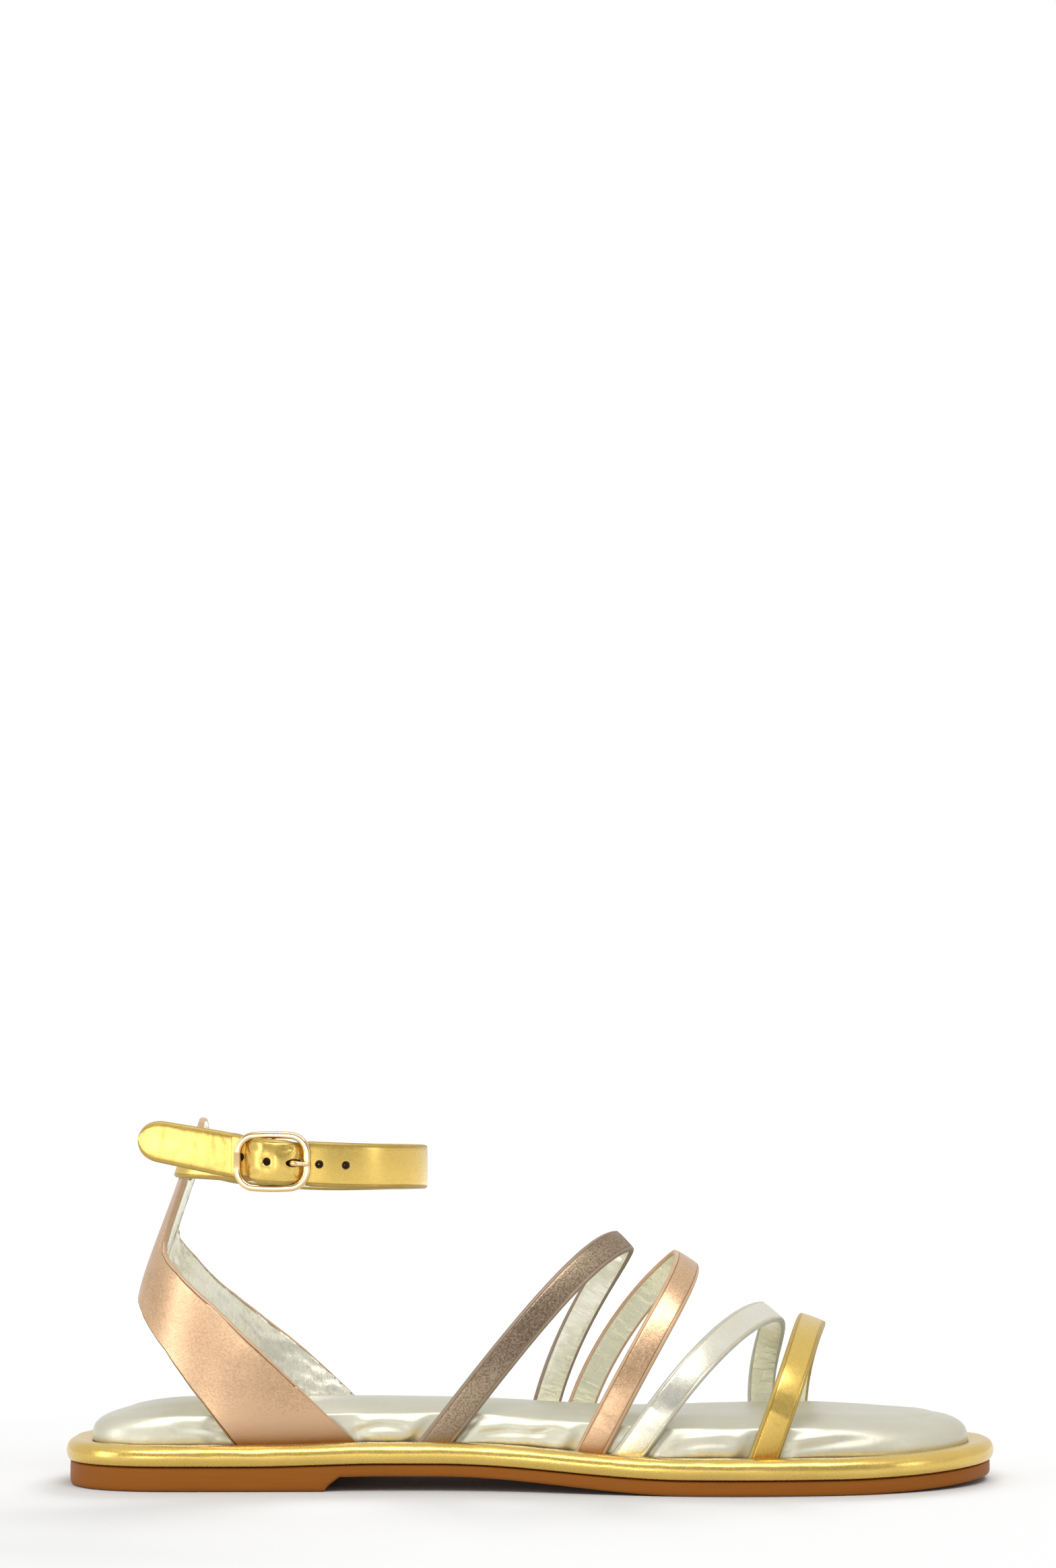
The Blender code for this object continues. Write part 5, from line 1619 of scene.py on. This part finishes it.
def tail_frames(start, facing, half, wall):
    """The free tail: straight on past the buckle, rising, tapered to a round tip."""
    splay, climb = math.radians(TAIL_SPLAY), math.radians(TAIL_RISE)
    ahead = np.array((-math.cos(splay), math.sin(splay), 0))
    straight = np.array((-ahead[1], ahead[0], 0))
    across = UP * math.cos(climb) - ahead * math.sin(climb)
    along = ahead * math.cos(climb) + UP * math.sin(climb)
    body = np.arange(ANKLE_STEP, TAIL_LENGTH - TAIL_ROUND, ANKLE_STEP)
    tip = TAIL_LENGTH - TAIL_ROUND + TAIL_ROUND * np.sin(np.linspace(0, math.pi / 2 * 0.985, 20))
    run = np.concatenate([body, tip])
    turned = ease(run, 0, TAIL_TURN)[:, None]
    width = half * (1 + (TAIL_TAPER - 1) * run / TAIL_LENGTH)
    past = np.clip(run - (TAIL_LENGTH - TAIL_ROUND), 0, None) / TAIL_ROUND
    width = width * (1 - past**TAIL_SQUARENESS) ** (1 / TAIL_SQUARENESS)
    centre = start + along * run[:, None]
    sides = unit(lerp(UP, across, turned))
    outward = unit(lerp(facing, straight, turned))
    return centre, sides, outward, width, np.full(len(run), wall)


def hole_places():
    """Each punched hole's centre on the strap's second pass, and the face's normal there."""
    along = LOOP_LENGTH + BAR_ALONG - HOLE_FIRST - HOLE_PITCH * np.arange(HOLE_COUNT) - HOLE_DRAWN
    here, outward, ahead = loop_point(along)
    rise = stand_off(along + SMALL_STEP) - stand_off(along - SMALL_STEP)
    slope = rise / (2 * SMALL_STEP)
    normal = unit(outward - ahead * slope[:, None])
    centre = here + outward * stand_off(along)[:, None]
    centre[:, 2] = strip_height(along)
    return centre, normal


def loose(shape, name):
    """A bmesh as a new object in the scene."""
    mesh = bpy.data.meshes.new(name)
    shape.to_mesh(mesh)
    shape.free()
    return placed(name, mesh)


def hole_cutter(centre, normal, stretch, inner):
    """A punch through the face, with a smaller hole left in the lining behind it."""
    steps = (
        (2.6 * MM, HOLE_RADIUS),
        (-0.25 * MM, HOLE_RADIUS * 0.96),
        (-0.35 * MM, LINING_HOLE),
        (inner, LINING_HOLE),
    )
    turn = np.linspace(0, 2 * math.pi, HOLE_SIDES, endpoint=False)
    shape = bmesh.new()
    rings = [
        [shape.verts.new((r * math.cos(a), r * math.sin(a) * stretch, z)) for a in turn]
        for z, r in steps
    ]
    for upper, lower in zip(rings, rings[1:]):
        for k in range(HOLE_SIDES):
            shape.faces.new((upper[k - 1], lower[k - 1], lower[k], upper[k]))
    shape.faces.new(rings[0][::-1])
    shape.faces.new(rings[-1])
    bmesh.ops.recalc_face_normals(shape, faces=shape.faces)
    obj = loose(shape, "hole")
    obj.location = centre
    obj.rotation_euler = Vector(normal).to_track_quat("Z", "X").to_euler()
    return obj


def fold_slot():
    """A box that cuts the fold's slot, where the prong's sleeve sits on the bar."""
    here, outward, ahead = loop_point(BAR_ALONG)
    centre = here + outward * (BUCKLE_STANDOFF - BAR_SET) - ahead * FOLD_SLOT_LEAD
    centre[2] = strip_height(BAR_ALONG)
    reach = FOLD_RADIUS + FOLD_WALL / 2 + FOLD_PLAY
    shape = bmesh.new()
    bmesh.ops.create_cube(shape, size=1)
    size = (2 * (reach + FOLD_SLOT_LEAD), 2 * reach, FOLD_SLOT)
    bmesh.ops.scale(shape, vec=size, verts=shape.verts)
    obj = loose(shape, "fold_slot")
    obj.location = centre
    obj.rotation_euler = (0, 0, math.atan2(ahead[1], ahead[0]))
    return obj


def buckle_puff(away, height, puff):
    """How far the strap swells inside the buckle, at millimetres past the bar and off its middle."""
    inside = 1 - ease(np.abs(away), *PUFF_ENDS)
    dome = np.clip(1 - (height / PUFF_HALF_HEIGHT) ** 2, 0, 1)
    place, width, share = PUFF_RIDGE
    ridge = bell(away, place, width) * share
    place, width, share = PUFF_DIMPLE
    dimple = bell(np.hypot(away - place, height), 0, width) * share
    reach, width, depth = PUFF_FOLD
    pulled = np.zeros(np.broadcast(away, height).shape)
    for up, ahead in ((1, -1), (1, 1), (-1, -1), (-1, 1)):
        x, y = away - PUFF_CORNER[0] * ahead, height - PUFF_CORNER[1] * up
        pulled += np.cos(np.arctan2(y, x) * 8) * bell(np.hypot(y, x), reach, width) * depth
    return inside * (puff * (dome * 0.75 + ridge * dome - dimple) + pulled * MM)


def hole_lift():
    """The swell of the strap's face at each punched hole."""
    past = (-HOLE_FIRST - HOLE_PITCH * np.arange(HOLE_COUNT) - HOLE_DRAWN) / MM
    return buckle_puff(past, np.zeros(HOLE_COUNT), bpy.context.scene.sandal_sizes.puff)


def make_ankle_strap(sizes, materials):
    (centre, across, outward, half, wall), marks = ankle_frames()
    bar = LOOP_LENGTH + BAR_ALONG

    def shape(run, side, zones):
        face = (zones == FACE)[None]
        away = np.where(marks < 1, marks - bar, 1.0)[:, None] / MM
        height = side / MM
        fine = ripple(np.broadcast_to(run / MM * 0.5, side.shape), height * 0.35, 6.6, 3)
        tail = ease(away, 10, 12) * face
        return buckle_puff(away, height, sizes.puff) * face + tail * fine * TAIL_CREASE

    obj = strap_skin("ankle_strap_folded", centre, across, outward, half, wall, sizes, shape)
    places, normals = hole_places()
    cutters = [fold_slot()]
    for index, (place, normal) in enumerate(zip(places, normals)):
        punch = (PRONG_HOLE_STRETCH, PRONG_PUNCH) if index == PRONG_HOLE else (1.0, PUNCH)
        cutters.append(hole_cutter(place, normal, *punch))
    # The cut faces take the near-black leather: painted shade inside the holes and the slot
    carve(obj, cutters, 3, materials)
    join([obj, make_hole_rims(materials[3])])
    return obj


# Buckle


def buckle_axes():
    here, outward, ahead = loop_point(BAR_ALONG)
    middle = here + outward * BUCKLE_STANDOFF
    middle[2] = strip_height(LOOP_LENGTH + BAR_ALONG)
    return middle, outward, ahead


def buckle_outline():
    """The frame's middle line: a rounded rectangle whose top and bottom bow out."""
    half_long = BUCKLE_LENGTH / 2 - BUCKLE_WIRE
    half_high = BUCKLE_HEIGHT / 2 - BUCKLE_WIRE - BUCKLE_BOW
    corner = BUCKLE_CORNER
    x, y = [], []
    for quarter, (sx, sy) in enumerate(((1, 1), (-1, 1), (-1, -1), (1, -1))):
        turn = math.pi / 2 * (quarter + np.linspace(0, 1, 17))
        x.append(sx * (half_long - corner) + corner * np.cos(turn))
        y.append(sy * (half_high - corner) + corner * np.sin(turn))
        if quarter in (0, 2):
            x.append(np.linspace(half_long - corner, corner - half_long, 14)[1:-1] * sx * sy * sy)
            y.append(np.full(12, sy * half_high))
    x, y = np.concatenate(x), np.concatenate(y)
    return x, y + np.copysign(BUCKLE_BOW * (1 - (x / half_long) ** 2), y)


def tube(name, centre, radius, facing, closed=False, section=None):
    """A round bar along a line, or one with its own section of (across, outward) shares."""
    if closed:
        centre = np.concatenate([centre, centre[:1]])
        ahead = np.roll(centre[:-1], -1, 0) - np.roll(centre[:-1], 1, 0)
        ahead = unit(np.concatenate([ahead, ahead[:1]]))
    else:
        ahead = unit(np.gradient(centre, axis=0))
    across = unit(np.cross(ahead, facing))
    outward = unit(np.cross(across, ahead))
    if section is None:
        turn = np.linspace(0, 2 * math.pi, BAR_SIDES, endpoint=False)
        section = np.stack([np.cos(turn), np.sin(turn)], -1)
    radius = np.broadcast_to(radius, (len(centre),))[:, None, None]
    spokes = across[:, None] * section[None, :, :1] + outward[:, None] * section[None, :, 1:]
    return skin(name, centre[:, None] + radius * spokes)


def flat_section():
    """The buckle wire's section: a soft square with flats that catch the light."""
    turn = np.linspace(0, 2 * math.pi, WIRE_SIDES, endpoint=False)
    square = np.abs(np.cos(turn)) ** WIRE_SQUARENESS + np.abs(np.sin(turn)) ** WIRE_SQUARENESS
    square = square ** (-1 / WIRE_SQUARENESS)
    return np.stack([np.cos(turn) * square, np.sin(turn) * square * WIRE_FLATNESS], -1)


def make_buckle():
    middle, outward, ahead = buckle_axes()
    x, y = buckle_outline()
    line = middle + ahead * x[:, None] + UP * y[:, None]
    ring = tube("buckle_ring", line, BUCKLE_WIRE, outward, True, flat_section())
    here = middle - outward * BAR_SET
    reach = BUCKLE_HEIGHT / 2 - BUCKLE_WIRE
    rise = np.linspace(-reach, reach, 12)[:, None]
    bar = tube("buckle_bar", here + UP * rise, BAR_RADIUS, outward)
    join([ring, bar])
    return ring


def make_prong():
    middle, outward, ahead = buckle_axes()
    over = BUCKLE_WIRE + ANKLE_PLAY + PRONG_RADIUS
    share, rise = read_profile(PRONG_RISE, 50)
    along = -FOLD_RADIUS - (BUCKLE_LENGTH / 2 - FOLD_RADIUS) * share
    line = middle + ahead * along[:, None] + outward * (-BAR_SET + (over + BAR_SET) * rise)[:, None]
    line[:, 2] = strip_height(LOOP_LENGTH + BAR_ALONG + along)
    radius = PRONG_RADIUS * (1 - 0.25 * share**2)
    radius = radius * np.sqrt(np.clip(1 - np.clip((share - 0.955) / 0.075, 0, 0.97) ** 2, 0, 1))
    prong = tube("prong_pin", line, radius, UP)
    here = middle - outward * BAR_SET
    outer = BAR_RADIUS + FOLD_PLAY + PRONG_SLEEVE
    half = PRONG_SLEEVE_WIDTH / 2
    rise = np.array((-1, -0.98, -0.9, 0.9, 0.98, 1.0))[:, None] * half
    radius = outer * np.array((0.75, 0.93, 1, 1, 0.93, 0.75))
    sleeve = tube("prong_sleeve", here + UP * rise, radius, outward)
    join([prong, sleeve])
    return prong


def join(objects):
    """Joins meshes into the first one, each face with its own material."""
    first = objects[0]
    shape = bmesh.new()
    for obj in objects:
        before = len(shape.faces)
        shape.from_mesh(obj.data)
        shape.faces.ensure_lookup_table()
        places = [first.data.materials.find(m.name) if m else 0 for m in obj.data.materials]
        if obj is not first and places:
            for face in shape.faces[before:]:
                face.material_index = max(places[face.material_index], 0)
    shape.to_mesh(first.data)
    shape.free()
    first.data.shade_smooth()
    for obj in objects[1:]:
        bpy.data.objects.remove(obj, do_unlink=True)


# Operators


class SANDAL_OT_outsole(bpy.types.Operator):
    """Makes the moulded outsole"""

    bl_idname = "sandal.outsole"
    bl_label = "Outsole"

    def execute(self, context):
        rubber = finish("rubber")
        outsole = make_outsole()
        outsole.data.materials.append(rubber)
        join([outsole, make_tread_ribs(rubber)])
        finish_piece(outsole, "outsole", [rubber])
        return {"FINISHED"}


class SANDAL_OT_rand(bpy.types.Operator):
    """Makes the wrapped rand"""

    bl_idname = "sandal.rand"
    bl_label = "Rand"

    def execute(self, context):
        sizes = context.scene.sandal_sizes
        finish_piece(make_rand(sizes), "rand", [finish("rand_foil")])
        return {"FINISHED"}


class SANDAL_OT_footbed(bpy.types.Operator):
    """Makes the padded footbed"""

    bl_idname = "sandal.footbed"
    bl_label = "Footbed pad"

    def execute(self, context):
        pad = make_pad(context.scene.sandal_sizes)
        finish_piece(pad, "footbed_pad", [finish("pad_foil")])
        return {"FINISHED"}


class SANDAL_OT_foot_straps(bpy.types.Operator):
    """Makes the four straps over the foot"""

    bl_idname = "sandal.foot_straps"
    bl_label = "Foot straps"

    def execute(self, context):
        for row in FOOT_STRAPS:
            colour = row[0].rsplit("_", 1)[1]
            looks = [finish(f"{colour}_foil"), finish(f"{colour}_edge"), finish("lining")]
            strap = make_foot_strap(row, context.scene.sandal_sizes)
            finish_piece(strap, row[0], looks)
        return {"FINISHED"}


class SANDAL_OT_heel_strap(bpy.types.Operator):
    """Makes the heel strap with its slotted tab"""

    bl_idname = "sandal.heel_strap"
    bl_label = "Heel strap"

    def execute(self, context):
        band = make_heel_strap(context.scene.sandal_sizes)
        looks = [finish("rose_foil"), finish("rose_edge"), finish("lining")]
        carve(band, [slit_cutter(side) for side in (LATERAL, MEDIAL)], 1, looks)
        finish_piece(band, "heel_strap", looks)
        return {"FINISHED"}


class SANDAL_OT_ankle_strap(bpy.types.Operator):
    """Makes the ankle strap with its punched holes"""

    bl_idname = "sandal.ankle_strap"
    bl_label = "Ankle strap"

    def execute(self, context):
        looks = [finish("gold_foil"), finish("gold_edge"), finish("lining"), finish("hole_core")]
        strap = make_ankle_strap(context.scene.sandal_sizes, looks)
        finish_piece(strap, "ankle_strap", looks)
        return {"FINISHED"}


class SANDAL_OT_buckle(bpy.types.Operator):
    """Makes the buckle's frame and its prong"""

    bl_idname = "sandal.buckle"
    bl_label = "Buckle"

    def execute(self, context):
        finish_piece(make_buckle(), "buckle_frame", [finish("buckle_plating")])
        finish_piece(make_prong(), "buckle_prong", [finish("buckle_plating")])
        return {"FINISHED"}


# Lights, as (name, place, size, power in watts)
LIGHTS = (
    ("softbox_top", (0.05, -0.78, 1.30), (1.6, 0.40), 14.0),
    ("softbox_front", (-0.38, -1.45, 0.09), (1.55, 0.15), 1.3),
    ("softbox_low", (-0.52, -1.20, 0.10), (0.27, 0.12), 0.85),
    ("softbox_back", (0.35, 1.15, 0.85), (0.9, 0.4), 15.0),
    ("softbox_left", (-1.25, -0.65, 0.36), (0.42, 0.75), 3.5),
    ("softbox_right", (1.35, -0.70, 0.42), (0.16, 0.6), 1.1),
)
AIM = (0.0, 0.0, 0.03)
# The plain light all round: its strength, how much more comes from above and less from the front
SKY = 0.84
TOP_GAIN = 0.02
FRONT_LOSS = 0.40
# The floor's own light, far from the sandal
FLOOR_GLOW = 0.56


class SANDAL_OT_stage(bpy.types.Operator):
    """Makes the floor, the lights and the camera"""

    bl_idname = "sandal.stage"
    bl_label = "Stage"

    def execute(self, context):
        studio = context.scene.sandal_studio
        make_floor(studio)
        make_world()
        for name, place, size, power in LIGHTS:
            make_light(name, place, size, power)
        make_camera(studio)
        context.scene.view_settings.view_transform = "Standard"
        return {"FINISHED"}


def make_floor(studio):
    bpy.ops.mesh.primitive_plane_add(size=12)
    floor = bpy.context.object
    floor.name = "studio_floor"
    material, tree, coords, shader = new_material("floor_paper")
    fibre = cloud(tree, coords, 900.0, 2.0)
    far = add_node(tree, "ShaderNodeVectorMath", {0: coords}, operation="LENGTH").outputs["Value"]
    looks = {
        "Base Color": (*studio.floor, 1),
        "Roughness": remap(tree, fibre, 0.72, 0.85),
        "Specular IOR Level": 0.2,
        "Emission Color": (1, 1, 1, 1),
        "Emission Strength": remap(tree, far, 0.0, FLOOR_GLOW, 0.22, 1.1),
    }
    feed(tree, shader, looks)
    floor.data.materials.append(material)


def make_world():
    """A bright plain studio: white to the eye, a softer grey in reflections from the front."""
    world = bpy.data.worlds.new("studio")
    bpy.context.scene.world = world
    world.use_nodes = True
    tree = world.node_tree
    background = tree.nodes["Background"]
    path = add_node(tree, "ShaderNodeLightPath")
    facing = add_node(tree, "ShaderNodeTexCoord").outputs["Generated"]
    parts = add_node(tree, "ShaderNodeSeparateXYZ", {0: facing})
    over = remap(tree, parts.outputs["Z"], 0.0, TOP_GAIN, 0.30, 0.75)
    ahead = remap(tree, parts.outputs["Y"], FRONT_LOSS, 0.0, -0.75, 0.05)
    level = remap(tree, parts.outputs["Z"], 1.0, 0.0, 0.45, 0.80)
    front = math_node(tree, "MULTIPLY", ahead, level)
    sky = math_node(tree, "ADD", over, SKY)
    sky = math_node(tree, "SUBTRACT", sky, front)
    seen = math_node(tree, "MAXIMUM", sky, path.outputs["Is Camera Ray"])
    tree.links.new(seen, background.inputs["Strength"])
    background.inputs["Color"].default_value = (1, 1, 1, 1)


def make_light(name, place, size, power):
    data = bpy.data.lights.new(name, "AREA")
    data.shape = "RECTANGLE"
    data.size, data.size_y = size
    data.energy = power
    light = bpy.data.objects.new(name, data)
    light.location = place
    light.visible_glossy = name != "softbox_back"
    light.rotation_euler = (Vector(AIM) - Vector(place)).to_track_quat("-Z", "Y").to_euler()
    bpy.context.scene.collection.objects.link(light)


def make_camera(studio):
    data = bpy.data.cameras.new("camera")
    data.sensor_width = 36
    data.lens = studio.lens
    camera = bpy.data.objects.new("camera", data)
    camera.location = (studio.camera_side, -studio.camera_distance, studio.camera_height)
    camera.rotation_euler = (math.pi / 2 + studio.camera_pitch, 0, 0)
    bpy.context.scene.collection.objects.link(camera)
    bpy.context.scene.camera = camera


class SANDAL_PT_panel(bpy.types.Panel):
    """Lists the pieces' operators and the settings"""

    bl_idname = "SANDAL_PT_panel"
    bl_label = "Sandal"
    bl_space_type = "VIEW_3D"
    bl_region_type = "UI"
    bl_category = "Sandal"

    def draw(self, context):
        layout = self.layout
        scene = context.scene
        for group in (scene.sandal_colours, scene.sandal_sizes, scene.sandal_studio):
            box = layout.box()
            for key in group.__annotations__:
                box.prop(group, key)
        for operator in OPERATORS:
            layout.operator(operator.bl_idname)


OPERATORS = (
    SANDAL_OT_stage,
    SANDAL_OT_outsole,
    SANDAL_OT_rand,
    SANDAL_OT_footbed,
    SANDAL_OT_foot_straps,
    SANDAL_OT_heel_strap,
    SANDAL_OT_ankle_strap,
    SANDAL_OT_buckle,
)
CLASSES = (SandalColours, SandalSizes, SandalStudio, *OPERATORS, SANDAL_PT_panel)


def register():
    for one in CLASSES:
        bpy.utils.register_class(one)
    bpy.types.Scene.sandal_colours = PointerProperty(type=SandalColours)
    bpy.types.Scene.sandal_sizes = PointerProperty(type=SandalSizes)
    bpy.types.Scene.sandal_studio = PointerProperty(type=SandalStudio)


def unregister():
    del bpy.types.Scene.sandal_studio
    del bpy.types.Scene.sandal_sizes
    del bpy.types.Scene.sandal_colours
    for one in reversed(CLASSES):
        bpy.utils.unregister_class(one)


def main():
    register()
    bpy.ops.sandal.stage()
    bpy.ops.sandal.outsole()
    bpy.ops.sandal.rand()
    bpy.ops.sandal.footbed()
    bpy.ops.sandal.foot_straps()
    bpy.ops.sandal.heel_strap()
    bpy.ops.sandal.ankle_strap()
    bpy.ops.sandal.buckle()


if __name__ == "__main__":
    main()
